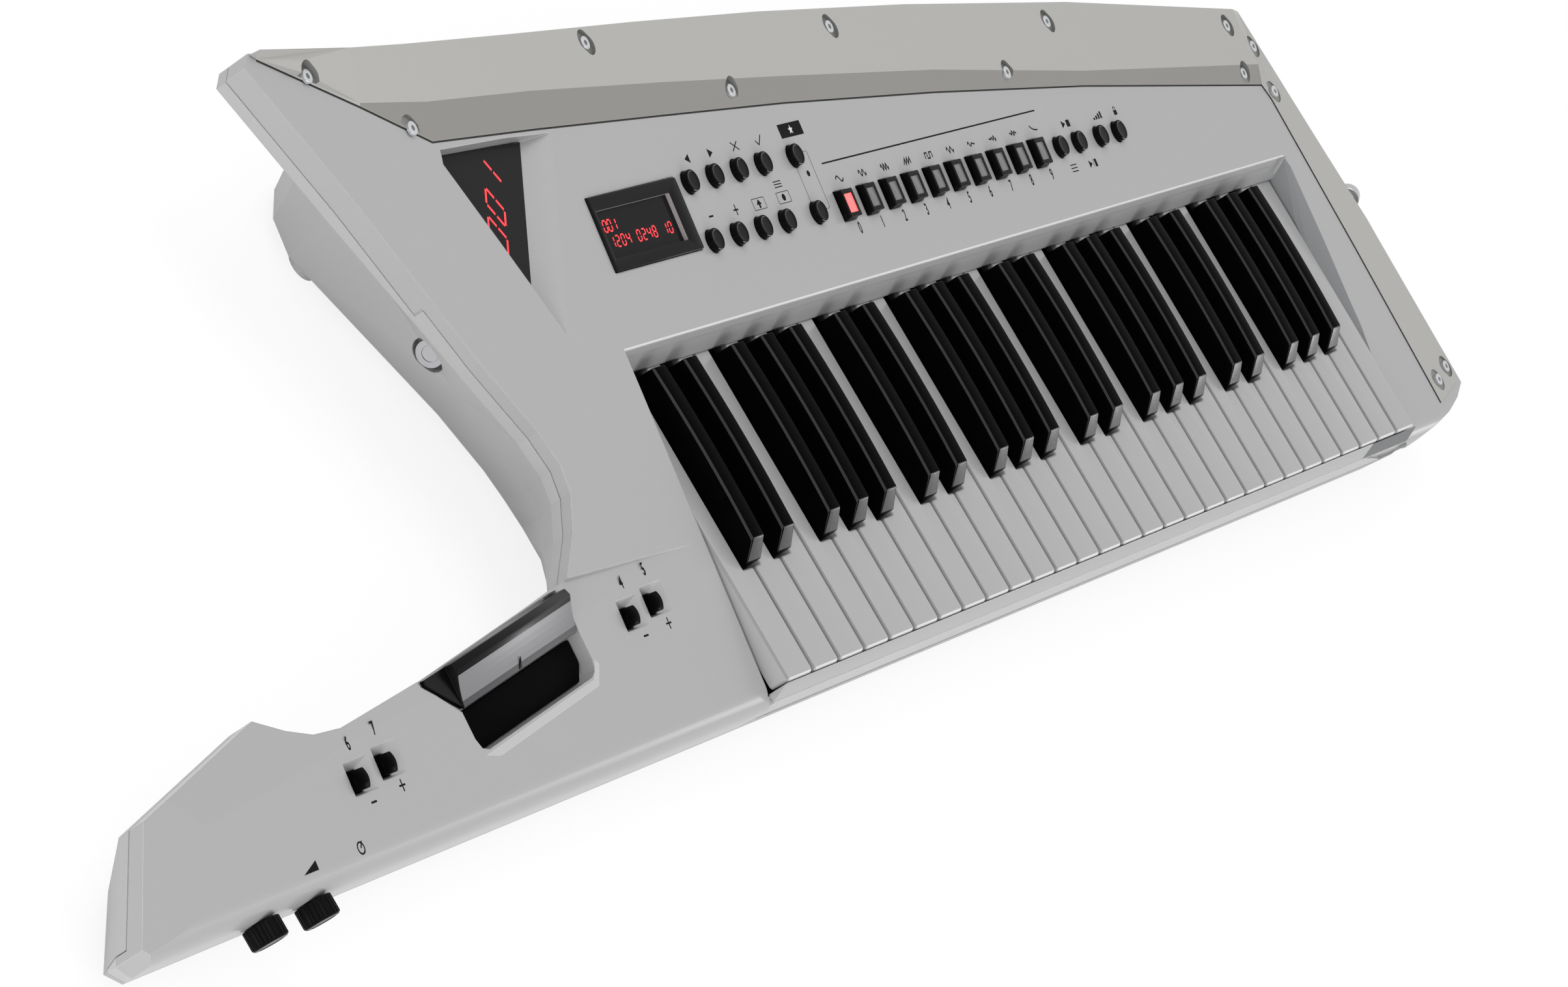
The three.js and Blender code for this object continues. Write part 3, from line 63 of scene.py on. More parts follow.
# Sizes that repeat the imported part's own, in millimetres
KEY_PITCH = 23.5
KEY_SLIT = 1.0
WHITE_LENGTH = 133.3
WHITE_REAR = 135.8
WHITE_HEIGHT = 9.0
NOSE_ROUND = 1.2
BLACK_FRONT = 47.8
BLACK_CREST = 54.7
BLACK_REAR = 130.5
BLACK_TOP = 10.0
BLACK_CENTRES = (21.74, 48.76, 90.99, 117.5, 144.01)
PIVOT_Y = 160.0
DECK_TILT = math.radians(8.36)
DECK_RISE = 10.4
NECK_LENGTH = 463.0
BODY_DEPTH = 284.0
FRONT_OFFSET = 5.0
END_LENGTH = 98.0
BAR_SHARE, BAR_Y, BAR_TURN = -0.471, 35, math.radians(6.8)
WHITE_COUNT = 29
KEYBOARD_WIDTH = WHITE_COUNT * KEY_PITCH
EDIT_XS = [102.5 + 22.2 * i for i in range(4)]
PROGRAM_XS = [225.9 + 22.0 * i for i in range(10)]
PLAYER_XS = [447.9, 468.4, 493.0, 513.5]
FRONT_ROW, REAR_ROW = 38.0, 63.0
ROUND_GANGS = {
    "cursor_buttons": [(x, REAR_ROW) for x in EDIT_XS],
    "edit_buttons": [(x, FRONT_ROW) for x in EDIT_XS],
    "bank_buttons": [(198.8, FRONT_ROW), (198.8, REAR_ROW)],
    "player_buttons": [(x, FRONT_ROW) for x in PLAYER_XS],
}
SWITCHES = {
    "program_down_switch": (0.6551, 0.1069), "program_up_switch": (0.6102, 0.1128),
    "octave_down_switch": (0.1736, 0.1763), "octave_up_switch": (0.1287, 0.183),
}
SCREW_SHARES = (
    ("NECK", 0.321, 0.956), ("NECK", 0.196, 0.862), ("KEYS", 0.087, 0.924), ("KEYS", 0.242, 0.817),
    ("KEYS", 0.396, 0.875), ("KEYS", 0.616, 0.749), ("KEYS", 0.704, 0.811), ("KEYS", 0.986, 0.738),
    ("KEYS", 0.989, 0.657), ("END", 0.17, 0.696), ("END", 0.2, 0.615), ("END", 0.7, 0.078),
    ("END", 0.852, 0.094),
)

# Blade, by station: its zone, then share along it and share of the depth for the inner edge, the crease
# and the outer edge, then the three heights
BLADE_STATIONS = (
    ("NECK", 0.38, 0.99, 0.381, 0.991, 0.388, 0.998, 0.4, 0.5, 5.0),
    ("NECK", 0.257, 0.905, 0.256, 0.909, 0.255, 0.979, 0.4, 0.6, 5.0),
    ("NECK", 0.169, 0.84, 0.168, 0.89, 0.168, 0.97, 0.4, 4.2, 5.0),
    ("KEYS", 0, 0.827, 0, 0.875, 0, 0.956, 0.5, 4.8, 5.0),
    ("KEYS", 0.15, 0.807, 0.15, 0.849, 0.15, 0.939, 0.5, 4.8, 5.0),
    ("KEYS", 0.308, 0.785, 0.308, 0.819, 0.308, 0.918, 0.5, 4.8, 5.0),
    ("KEYS", 0.512, 0.749, 0.511, 0.778, 0.506, 0.884, 0.5, 4.8, 5.0),
    ("KEYS", 0.732, 0.703, 0.729, 0.722, 0.742, 0.834, 0.5, 4.6, 5.0),
    ("END", 0.112, 0.632, 0.09, 0.664, 0.03, 0.762, 0.5, 3.6, 4.8),
    ("END", 0.16, 0.605, 0.165, 0.61, 0.163, 0.758, 0.5, 0.7, 1.5),
    ("END", 0.245, 0.508, 0.25, 0.509, 0.49, 0.498, 0.5, 0.7, 1.4),
    ("END", 0.408, 0.324, 0.413, 0.325, 0.658, 0.368, 0.5, 0.7, 1.4),
    ("END", 0.641, 0.041, 0.646, 0.042, 0.934, 0.067, 0.5, 0.7, 1.4),
)
BLADE_SEAT = 0.3
FACET_STATIONS = (1, 8)
SEAM_WIDTH = 1.3
RECESS_RADIUS, RECESS_HALF = 4.2, 1.9
HEAD_DEPTH = 1.5


# Frames: each is a 4 x 4 array from its own millimetres to the row frame in metres
def moved(x, y, z):
    return np.array(Matrix.Translation((x, y, z)))


def turned(angle, axis):
    return np.array(Matrix.Rotation(angle, 4, axis))


def keyboard_frame():
    """Scale to metres, then shift: the first white key starts half a slit in, at y 0, its top at z 0."""
    low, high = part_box("white_key_01")
    place = np.diag([0.001, 0.001, 0.001, 1.0])
    place[:3, 3] = (low.x - KEY_SLIT / 2000, low.y, high.z)
    return place


KEYS = keyboard_frame()
DECK = KEYS @ moved(0, WHITE_LENGTH, DECK_RISE) @ turned(DECK_TILT, "X")
BAR_CORNER = (BAR_SHARE * NECK_LENGTH, (BAR_Y - WHITE_LENGTH) / math.cos(DECK_TILT), 0)
BAR = DECK @ moved(*BAR_CORNER) @ turned(BAR_TURN, "Z")
ZONES = {"NECK": (0.0, -NECK_LENGTH), "KEYS": (0.0, KEYBOARD_WIDTH), "END": (KEYBOARD_WIDTH, END_LENGTH)}


def plan_place(zone, along, across):
    """Keyboard x and y of a share of a zone's length and a share of the body's depth."""
    start, length = ZONES[zone]
    return start + along * length, across * BODY_DEPTH - FRONT_OFFSET


def deck_place(zone, along, across):
    """The same in deck x and v: the distance rearward is divided by the cosine of the tilt."""
    x, y = plan_place(zone, along, across)
    return x, (y - WHITE_LENGTH) / math.cos(DECK_TILT)


# Outlines: arrays of (u, v) points, counterclockwise
def rounded(corners, radii, steps=4):
    """Each corner P gives way to the arc between A and B, the points where a circle of its radius
    touches the two sides: with t from 0 to 1 and k the sine of half the corner's angle, the point is
    ((1-t)^2 A + 2t(1-t)k P + t^2 B) / ((1-t)^2 + 2t(1-t)k + t^2)."""
    p = np.asarray(corners, float)
    r = np.broadcast_to(np.asarray(radii, float), len(p))
    back = np.roll(p, 1, 0) - p
    ahead = np.roll(p, -1, 0) - p
    back /= np.linalg.norm(back, axis=1, keepdims=True)
    ahead /= np.linalg.norm(ahead, axis=1, keepdims=True)
    half = np.arccos(np.clip((back * ahead).sum(1), -1, 1)) / 2
    trim = (r / np.tan(np.maximum(half, 1e-3)))[:, None]
    a, b = p + back * trim, p + ahead * trim
    t = np.linspace(0, 1, steps + 1)[None, :, None]
    k = np.sin(half)[:, None, None]
    weights = (1 - t) ** 2, 2 * t * (1 - t) * k, t ** 2
    top = weights[0] * a[:, None] + weights[1] * p[:, None] + weights[2] * b[:, None]
    return (top / sum(weights)).reshape(-1, 2)


def inset(outline, distance):
    """Every point moves inward along the sum of its sides' normals, divided by one plus their product."""
    arrive = outline - np.roll(outline, 1, 0)
    leave = np.roll(outline, -1, 0) - outline
    sides = [np.stack([-d[:, 1], d[:, 0]], 1) / np.maximum(np.linalg.norm(d, axis=1), 1e-9)[:, None]
             for d in (arrive, leave)]
    reach = distance / (1 + (sides[0] * sides[1]).sum(1))
    return outline + (sides[0] + sides[1]) * reach[:, None]


def rectangle(x0, x1, y0, y1, radius, steps=4):
    return rounded([(x0, y0), (x1, y0), (x1, y1), (x0, y1)], radius, steps)


def oblong(half_u, half_v, radius, steps=4):
    """A rectangle round the origin."""
    return rectangle(-half_u, half_u, -half_v, half_v, radius, steps)


def circle(radius, count=48, middle=(0.0, 0.0)):
    """Points at equal angles: the middle plus the radius times cosine and sine."""
    angle = np.arange(count) * 2 * math.pi / count
    return np.stack([middle[0] + radius * np.cos(angle), middle[1] + radius * np.sin(angle)], 1)


# Solids: (points, faces) with faces as a list of index lists
def outward(points, faces):
    """Turns all faces if the volume, the sum of the box products of each face's fan, is negative."""
    total = 0.0
    for size in set(map(len, faces)):
        block = np.array([f for f in faces if len(f) == size])
        for i in range(1, size - 1):
            a, b, c = points[block[:, 0]], points[block[:, i]], points[block[:, i + 1]]
            total += np.einsum("ij,ij->i", a, np.cross(b, c)).sum()
    return (points, faces) if total > 0 else (points, [f[::-1] for f in faces])


def loft(rings):
    """Skin over rings of equally many points: point i of ring k joins i + 1 and both of ring k + 1,
    and a flat face closes the first and the last ring."""
    rings = np.asarray(rings, float)
    levels, count = rings.shape[:2]
    k = np.arange(levels - 1)[:, None] * count
    i = np.arange(count)[None, :]
    j = (i + 1) % count
    quads = np.stack([k + i, k + j, k + count + j, k + count + i], -1).reshape(-1, 4)
    last = (levels - 1) * count
    caps = [list(range(count))[::-1], list(range(last, last + count))]
    return outward(rings.reshape(-1, 3), quads.tolist() + caps)


def upright(outline, levels):
    """Rings of an outline at heights: each level is (how far the outline is drawn in, height)."""
    return np.stack([
        np.column_stack([inset(outline, depth) if depth else outline, np.full(len(outline), height)])
        for depth, height in levels
    ])


def rounded_levels(low, high, low_round, high_round, steps=4):
    """Heights and insets of a block whose edges are quarter circles of the two radii."""
    t = np.linspace(0, math.pi / 2, steps + 1)
    curve = [(1 - math.sin(a), 1 - math.cos(a)) for a in t]
    below = [(low_round * draw, low + low_round * rise) for draw, rise in curve]
    above = [(high_round * rise, high - high_round * draw) for draw, rise in curve]
    return (below if low_round else [(0, low)]) + (above if high_round else [(0, high)])


def block(outline, low, high, low_round=0.0, high_round=0.0, steps=3):
    """An outline carried up from low to high, with rounded edges at both ends."""
    return loft(upright(outline, rounded_levels(low, high, low_round, high_round, steps)))


def revolved(profile, count=48, spread=None):
    """Rings of circles: the profile gives (radius, height), and spread the radius's share at each angle."""
    angle = np.arange(count) * 2 * math.pi / count
    share = np.ones(count) if spread is None else spread(angle)
    radius, height = np.asarray(profile, float).T
    across = radius[:, None] * share[None, :]
    return loft(np.stack([across * np.cos(angle), across * np.sin(angle),
                          np.broadcast_to(height[:, None], across.shape)], -1))


def along_x(section, stations):
    """A (y, z) section carried along X: each station is (how far the section is drawn in, x)."""
    return loft(np.stack([
        np.column_stack([np.full(len(section), x), inset(section, depth) if depth else section])
        for depth, x in stations
    ]))


def chamfered(start, end, cut):
    """Stations of a straight run along X whose ends are drawn in by the cut over the same length."""
    return [(cut, start), (0, start + cut), (0, end - cut), (cut, end)]


def in_frame(solid, place):
    points, faces = solid
    return points @ place[:3, :3].T + place[:3, 3], faces


def stroke(path, width, low, high):
    """A thin strip with a flat top that follows a path: on each side it stands half its width off
    the path, along the mean of the two neighbouring normals."""
    path = np.asarray(path, float)
    step = np.diff(path, axis=0)
    normal = np.stack([-step[:, 1], step[:, 0]], 1) / np.linalg.norm(step, axis=1)[:, None]
    first, second = np.vstack([normal[:1], normal]), np.vstack([normal, normal[-1:]])
    mean = (first + second) / (1 + (first * second).sum(1))[:, None] * width / 2
    left, right = path + mean, path - mean
    flat = lambda side, height: np.column_stack([side, np.full(len(side), height)])
    return loft(np.stack([flat(left, low), flat(right, low), flat(right, high), flat(left, high)], 1))


# Objects and meshes
def linked(name, data):
    """A new object of the data, in the scene."""
    holder = bpy.data.objects.new(name, data)
    bpy.context.scene.collection.objects.link(holder)
    return holder


def meshed(name, points, faces):
    """A new mesh of the points and faces."""
    mesh = bpy.data.meshes.new(name)
    mesh.from_pydata(np.asarray(points, float).tolist(), [], faces)
    return mesh


def field(items, key):
    """The normals, centres or places of all vertices or faces, as an array of points."""
    values = np.empty(len(items) * 3)
    items.foreach_get(key, values)
    return values.reshape(-1, 3)


def evaluated(holder):
    """An object's points and faces after its modifiers, and the index of each face's finish."""
    mesh = bpy.data.meshes.new_from_object(holder.evaluated_get(bpy.context.evaluated_depsgraph_get()))
    marks = np.empty(len(mesh.polygons), int)
    mesh.polygons.foreach_get("material_index", marks)
    solid = field(mesh.vertices, "co"), [list(face.vertices) for face in mesh.polygons]
    bpy.data.meshes.remove(mesh)
    return solid, marks


def lettering(text, size, width_share, place, height):
    """A line of plain figures as thin solids: the text curve is made a mesh, then put in its place."""
    curve = bpy.data.curves.new("figures", "FONT")
    curve.body = text
    curve.size = size
    curve.extrude = height / 2
    curve.offset = 0.08
    curve.align_x = "CENTER"
    curve.align_y = "CENTER"
    holder = linked("figures", curve)
    (points, faces), _ = evaluated(holder)
    bpy.data.objects.remove(holder)
    bpy.data.curves.remove(curve)
    return points * (width_share, 1, 1) + (*place, 0), faces


def at(place, *solids):
    """Parts that share a frame and take the first finish."""
    return [(solid, place, 0) for solid in solids]


def build(name, parts, coats, body, replaces=(), crease=32, shade=None):
    """One object from parts given as (solid, frame, index of its finish), and the finishes' names."""
    points, faces, marks, start = [], [], [], 0
    for solid, place, mark in parts:
        p, f = in_frame(solid, place)
        points.append(p)
        faces += [[i + start for i in face] for face in f]
        marks += [mark] * len(f)
        start += len(p)
    if not points:
        raise RuntimeError(f"{name} has nothing in it")
    mesh = meshed(name, np.concatenate(points), faces)
    mesh.update()
    for coat in coats:
        mesh.materials.append(finishes()[coat])
    if shade:
        normals, centres = (field(mesh.polygons, key) for key in ("normal", "center"))
        marks = shade(normals, centres, np.array(marks)).tolist()
    mesh.polygons.foreach_set("material_index", marks)
    mesh.shade_smooth()
    mesh.set_sharp_from_angle(angle=math.radians(crease))
    piece = linked(name, mesh)
    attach(piece, body)
    if replaces:
        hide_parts(*replaces)
    return piece


# Finishes, with lengths in metres
# Radius of the rounded normal that finds the edges for the painted highlight
HIGHLIGHT_RADIUS = 0.0006
ROUGHNESS_SPREAD = 0.08


def feed(tree, node, inputs):
    """Links each socket that is given to an input, and sets any other value there."""
    for key, value in dict(inputs).items():
        if isinstance(value, bpy.types.NodeSocket):
            tree.links.new(value, node.inputs[key])
        else:
            node.inputs[key].default_value = value


def add(tree, kind, inputs=(), **settings):
    """A new node with its settings and then its inputs."""
    node = tree.nodes.new("ShaderNode" + kind)
    for key, value in settings.items():
        setattr(node, key, value)
    feed(tree, node, inputs)
    return node


def surface_group():
    """Moulded surface, shared by all finishes: slow noise shifts the colour and the roughness, fine
    noise gives the grain's height, and edges, where the rounded normal leaves the flat one, are
    lightened as a painted highlight."""
    tree = bpy.data.node_groups.get("moulded_surface")
    if tree:
        return tree
    tree = bpy.data.node_groups.new("moulded_surface", "ShaderNodeTree")
    taken = ("Colour", "Colour Spread", "Patch Scale", "Grain Scale", "Grain Height", "Roughness",
             "Roughness Spread", "Edge Lift")
    for direction, names in (("INPUT", taken), ("OUTPUT", ("Colour", "Roughness", "Height"))):
        for name in names:
            kind = "NodeSocketColor" if name == "Colour" else "NodeSocketFloat"
            tree.interface.new_socket(name=name, in_out=direction, socket_type=kind)
    given = tree.nodes.new("NodeGroupInput").outputs
    place = add(tree, "TexCoord").outputs["Object"]

    def noise(scale, detail):
        inputs = {"Vector": place, "Scale": given[scale], "Detail": detail}
        return add(tree, "TexNoise", inputs).outputs["Fac"]

    def maths(kind, *values):
        return add(tree, "Math", enumerate(values), operation=kind).outputs[0]

    shift = maths("SUBTRACT", noise("Patch Scale", 3.0), 0.5)
    speck = maths("SUBTRACT", noise("Grain Scale", 2.0), 0.5)
    rounded_normal = add(tree, "Bevel", {"Radius": HIGHLIGHT_RADIUS}, samples=4).outputs["Normal"]
    normals = {0: rounded_normal, 1: add(tree, "NewGeometry").outputs["Normal"]}
    same = add(tree, "VectorMath", normals, operation="DOT_PRODUCT").outputs["Value"]
    spread = given["Colour Spread"]
    gain = maths("ADD", maths("MULTIPLY", shift, spread), 1.0)
    gain = maths("ADD", gain, maths("MULTIPLY", maths("MULTIPLY", speck, spread), 0.5))
    # Painted highlight: edges lighter where the rounded normal leaves the flat one
    gain = maths("ADD", gain, maths("MULTIPLY", maths("SUBTRACT", 1.0, same), given["Edge Lift"]))
    scaled = add(tree, "VectorMath", {0: given["Colour"], "Scale": gain}, operation="SCALE")
    rough = maths("ADD", given["Roughness"], maths("MULTIPLY", shift, given["Roughness Spread"]))
    feed(tree, tree.nodes.new("NodeGroupOutput"), {
        "Colour": scaled.outputs["Vector"], "Roughness": rough,
        "Height": maths("MULTIPLY", speck, given["Grain Height"]),
    })
    return tree


def make_finish(name, colour, roughness, spread=0.03, patch=14.0, grain=1400.0, height=0.00002,
                edge_lift=0.4, soft_edge=0.0, metallic=0.0, ior=1.45, glow=0.0):
    """A Principled surface fed by the moulded surface group, with edges softened by a rounded normal."""
    finish = bpy.data.materials.new(name)
    finish.use_nodes = True
    tree = finish.node_tree
    surface = add(tree, "Group", {
        "Colour": (*colour, 1.0), "Colour Spread": spread, "Patch Scale": patch, "Grain Scale": grain,
        "Grain Height": height, "Roughness": roughness, "Roughness Spread": ROUGHNESS_SPREAD,
        "Edge Lift": edge_lift,
    }, node_tree=surface_group()).outputs
    bump = add(tree, "Bump", {"Strength": 1.0, "Distance": 1.0, "Height": surface["Height"]})
    if soft_edge:
        bevel = add(tree, "Bevel", {"Radius": soft_edge}, samples=6)
        feed(tree, bump, {"Normal": bevel.outputs["Normal"]})
    shader = tree.nodes["Principled BSDF"]
    feed(tree, shader, {"Base Color": surface["Colour"], "Roughness": surface["Roughness"],
                        "Normal": bump.outputs["Normal"], "Metallic": metallic, "IOR": ior})
    if glow:
        feed(tree, shader, {"Emission Color": surface["Colour"], "Emission Strength": glow})
    return finish


def plain(hexadecimal):
    """Linear colour of a screen colour written as rrggbb."""
    screen = np.array([int(hexadecimal[i:i + 2], 16) for i in (0, 2, 4)]) / 255
    linear = np.where(screen <= 0.04045, screen / 12.92, ((screen + 0.055) / 1.055) ** 2.4)
    return tuple(float(c) for c in linear)


class KeytarColours(bpy.types.PropertyGroup):
    casing: FloatVectorProperty(name="Casing", description="Grey of the top moulding", subtype="COLOR",
                                min=0, max=1, default=plain("acacac"))
    base: FloatVectorProperty(name="Base", description="Grey of the bottom moulding", subtype="COLOR",
                              min=0, max=1, default=plain("b2b2b2"))
    blade: FloatVectorProperty(name="Blade", description="Warm grey of the rear trim", subtype="COLOR",
                               min=0, max=1, default=plain("b1b0ad"))
    ivory: FloatVectorProperty(name="White keys", description="Colour of the white keys", subtype="COLOR",
                               min=0, max=1, default=plain("adadad"))
    ebony: FloatVectorProperty(name="Black keys", description="Colour of the black keys", subtype="COLOR",
                               min=0, max=1, default=plain("040404"))
    cap: FloatVectorProperty(name="Buttons", description="Colour of buttons and knobs", subtype="COLOR",
                             min=0, max=1, default=plain("0c0c0c"))
    glow: FloatVectorProperty(name="Lit red", description="Colour of the lit figures", subtype="COLOR",
                              min=0, max=1, default=plain("f03038"))
    print_ink: FloatVectorProperty(name="Print", description="Ink of the printed marks", subtype="COLOR",
                                   min=0, max=1, default=plain("101010"))


class KeytarSizes(bpy.types.PropertyGroup):
    key_corner: FloatProperty(name="Key corner", description="Plan radius of a white key's front corners",
                              unit="LENGTH", default=0.0019)
    key_edge: FloatProperty(name="Key edge", description="Rounding of a white key's top edge",
                            unit="LENGTH", default=0.0011)
    crest: FloatProperty(name="Black crest", description="Rounding where a black key's slope meets its top",
                         unit="LENGTH", default=0.0016)
    knurls: IntProperty(name="Knurls", description="Ridges round a knob", min=6, max=60, default=24)
    bar_dip: FloatProperty(name="Bar dip", description="How far the bar's top is hollowed",
                           unit="LENGTH", default=0.0005)
    ink_height: FloatProperty(name="Ink height", description="Thickness of printed marks",
                              unit="LENGTH", default=0.00006)


class KeytarStudio(bpy.types.PropertyGroup):
    fill: FloatProperty(name="Fill", description="Brightness of the surrounding light", min=0, default=0.6)
    lamp: FloatProperty(name="Lamp", description="Power of the large soft lamp overhead",
                        unit="POWER", default=20.0)
    side: FloatProperty(name="Side lamp", description="Power of the soft low lamp on the left",
                        unit="POWER", default=26.0)
    front: FloatProperty(name="Front lamp", description="Power of the soft lamp in front",
                         unit="POWER", default=13.0)
    glint: FloatProperty(name="Glint", description="Power of the small lamp that draws highlights",
                         unit="POWER", default=4.0)
    floor: FloatProperty(name="Floor", description="Reflectance of the floor", min=0, max=1, default=0.9)


def millimetres(length):
    return length * 1000


# Patch scale, grain scale and grain height of some surfaces
SMOOTH, CAP, DARK = (30.0, 2600.0, 0.000004), (60.0, 2200.0, 0.000008), (40.0, 1800.0, 0.00001)
METAL, STEEL, GLASS = (40.0, 1800.0, 0.000006), (60.0, 1600.0, 0.000008), (25.0, 900.0, 0.000002)

# Each finish: a colour as rrggbb or the name of a colour property, then roughness, spread of the colour
# and the surface, then what else differs from the values of make_finish
FINISHES = {
    "casing_plastic": ("casing", [0.3, 0.02], {"edge_lift": 1.8, "soft_edge": 0.0009}),
    # Painted highlight of the chamfer round the bar's recess
    "casing_light": ("c0c0c0", [0.3, 0.02]),
    # Painted highlight on the white keys' front edges and along both edges of the keys' well
    "edge_light": ("dadada", [0.35, 0.02]),
    "base_plastic": ("base", [0.5, 0.03], {"soft_edge": 0.0009}),
    "blade_lacquer": ("blade", [0.45, 0.02], {"height": 0.00001, "soft_edge": 0.0003}),
    # Painted shade on the blade's facet inside the crease
    "blade_facet": ("8e8c88", [0.6, 0.02], {"height": 0.00001}),
    "seam_shadow": ("3c3c3c", [0.5, 0.1, 60.0], {"ior": 1.1}),
    # Painted shade on the walls of the blade's recesses
    "blade_recess": ("7a7a78", [0.35, 0.05], {"height": 0.00001}),
    "ivory_plastic": ("ivory", [0.3, 0.015, *SMOOTH]),
    # Painted shade on the white keys' rounded left edges
    "ivory_edge": ("8c8c8c", [0.3, 0.015, *SMOOTH]),
    "ebony_plastic": ("ebony", [0.22, 0.2, 40.0, 2600.0, 0.000004], {"ior": 1.04}),
    # Painted sheen on the black keys' slopes
    "ebony_slope": ("262727", [0.28, 1.2, 260.0, 900.0, 0.00003], {"ior": 1.3}),
    # Painted highlight on the black keys' left long edges
    "ebony_edge": ("303132", [0.3, 0.3, 60.0, 900.0, 0.000004], {"ior": 1.2}),
    "cap_plastic": ("cap", [0.24, 0.1, *CAP], {"edge_lift": 2.0, "ior": 1.12}),
    "cap_glint": ("6a6a6a", [0.2, 0.1, *CAP]),
    "dark_plastic": ("0b0b0c", [0.24, 0.1, *DARK], {"soft_edge": 0.0004, "ior": 1.15}),
    "ribbon_film": ("090909", [0.4, 0.1, *DARK], {"ior": 1.04}),
    "display_glass": ("1a1a1b", [0.12, 0.15, *GLASS], {"ior": 1.1}),
    "window_wall": ("a8a0a0", [0.3, 0.05]),
    "well_glass": ("232223", [0.2, 0.12, *GLASS], {"ior": 1.1}),
    # Painted shade at the finger notch
    "notch_grey": ("5e6163", [0.45, 0.05, 40.0]),
    "window_grey": ("6e6e6e", [0.3, 0.08, 60.0, 1600.0, 0.000006]),
    "window_lit": ("ff6464", [0.35, 0.05, 60.0], {"glow": 0.9}),
    "lit_red": ("glow", [0.4, 0.08, 80.0], {"glow": 0.85}),
    "print_ink": ("print_ink", [0.5, 0.1, 80.0], {"ior": 1.1}),
    "print_white": ("e0e0e0", [0.5, 0.03, 80.0]),
    "satin_chrome": ("868688", [0.42, 0.04, *METAL], {"metallic": 1.0}),
    # Painted shade low on the bar's metal face
    "satin_shade": ("565658", [0.42, 0.04, *METAL], {"metallic": 1.0}),
    "well_shade": ("86888a", [0.45, 0.06, 12.0]),
    "pin_steel": ("b4b4b6", [0.28, 0.05, *STEEL], {"metallic": 1.0}),
    "screw_steel": ("c4c6c8", [0.3, 0.05, *STEEL], {"metallic": 0.5}),
    "board_lacquer": ("1d4a2e", [0.45, 0.25, 90.0, 500.0, 0.00002]),
    "chassis_paint": ("3c3f42", [0.6, 0.08, 30.0], {"soft_edge": 0.0005}),
    "battery_wrap": ("1c1c20", [0.45, 0.3, 60.0]),
}


def finishes():
    """All finishes by name, made once."""
    made = {m.name: m for m in bpy.data.materials}
    if "casing_plastic" in made:
        return made
    colours = bpy.context.scene.keytar_colours
    for name, (colour, values, *more) in FINISHES.items():
        chosen = colour in KeytarColours.__annotations__
        make_finish(name, getattr(colours, colour) if chosen else plain(colour), *values, **dict(*more))
    return {m.name: m for m in bpy.data.materials}


def dress(node, finish):
    """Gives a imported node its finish."""
    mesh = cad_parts[node].data
    mesh.materials.clear()
    mesh.materials.append(finishes()[finish])


# White keys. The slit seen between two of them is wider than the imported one, and their fronts lean less.
SEEN_SLIT = 1.7
BLACK_SLOT = 7.5
SHOULDER_OUTER, SHOULDER_INNER = 1.4, 0.6
FRONT_REACH = 12
NOSE_REACH, NOSE_DROP, NOSE_SETBACK = 2.4, 0.35, 0.5
PIVOT_RADIUS, PIVOT_DEPTH = 3, 6


def pivot_rod(middle, half):
    """The round rod under a key's rear end, on which it rocks."""
    section = circle(PIVOT_RADIUS, 24) + (PIVOT_Y, -PIVOT_DEPTH)
    return along_x(section, chamfered(middle - half, middle + half, 0.3))


def white_outline(note, last, corner):
    """Plan of a key: wide in front, and behind the shoulders only as wide as its black neighbours leave."""
    left = note * KEY_PITCH
    near = [] if last else [c - left for c in BLACK_CENTRES]
    wide = (SEEN_SLIT / 2, KEY_PITCH - SEEN_SLIT / 2)
    low = max([wide[0]] + [c + BLACK_SLOT for c in near if c < KEY_PITCH / 2])
    high = min([wide[1]] + [c - BLACK_SLOT for c in near if c > KEY_PITCH / 2])
    shoulder = BLACK_FRONT - SHOULDER_OUTER
    corners = [(wide[0], 0), (wide[1], 0)]
    radii = [corner, corner]
    if high < wide[1]:
        corners += [(wide[1], shoulder), (high, shoulder)]
        radii += [SHOULDER_OUTER, SHOULDER_INNER]
    corners += [(high, WHITE_REAR), (low, WHITE_REAR)]
    radii += [SHOULDER_OUTER, SHOULDER_OUTER]
    if low > wide[0]:
        corners += [(low, shoulder), (wide[0], shoulder)]
        radii += [SHOULDER_INNER, SHOULDER_OUTER]
    return rounded(corners, radii, 5), (low + high) / 2


def white_solids(note, last, corner, edge):
    """The outline carried up from the underside, with a quarter circle of the edge's radius on top.
    In front, a point at depth d below the nose stands back by its share of the setback, and the top
    drops with the square of the distance in front of the nose's reach."""
    outline, middle = white_outline(note, last, corner)
    body, faces = block(outline, -WHITE_HEIGHT, 0, 0.3, edge, 4)
    lean = NOSE_SETBACK * np.clip((-NOSE_ROUND - body[:, 2]) / (WHITE_HEIGHT - NOSE_ROUND), 0, 1)
    body[:, 1] += np.where(body[:, 1] < FRONT_REACH, lean, 0)
    nose = np.clip(1 - body[:, 1] / NOSE_REACH, 0, 1) ** 2 * NOSE_DROP
    body[:, 2] -= np.where(body[:, 2] > -edge, nose, 0)
    arm = block(rectangle(middle - 5, middle + 5, 134.2, PIVOT_Y, 0.5, 2), -8, -4, 0.2, 0.2, 2)
    return [(body, faces), arm, pivot_rod(middle, 5)]


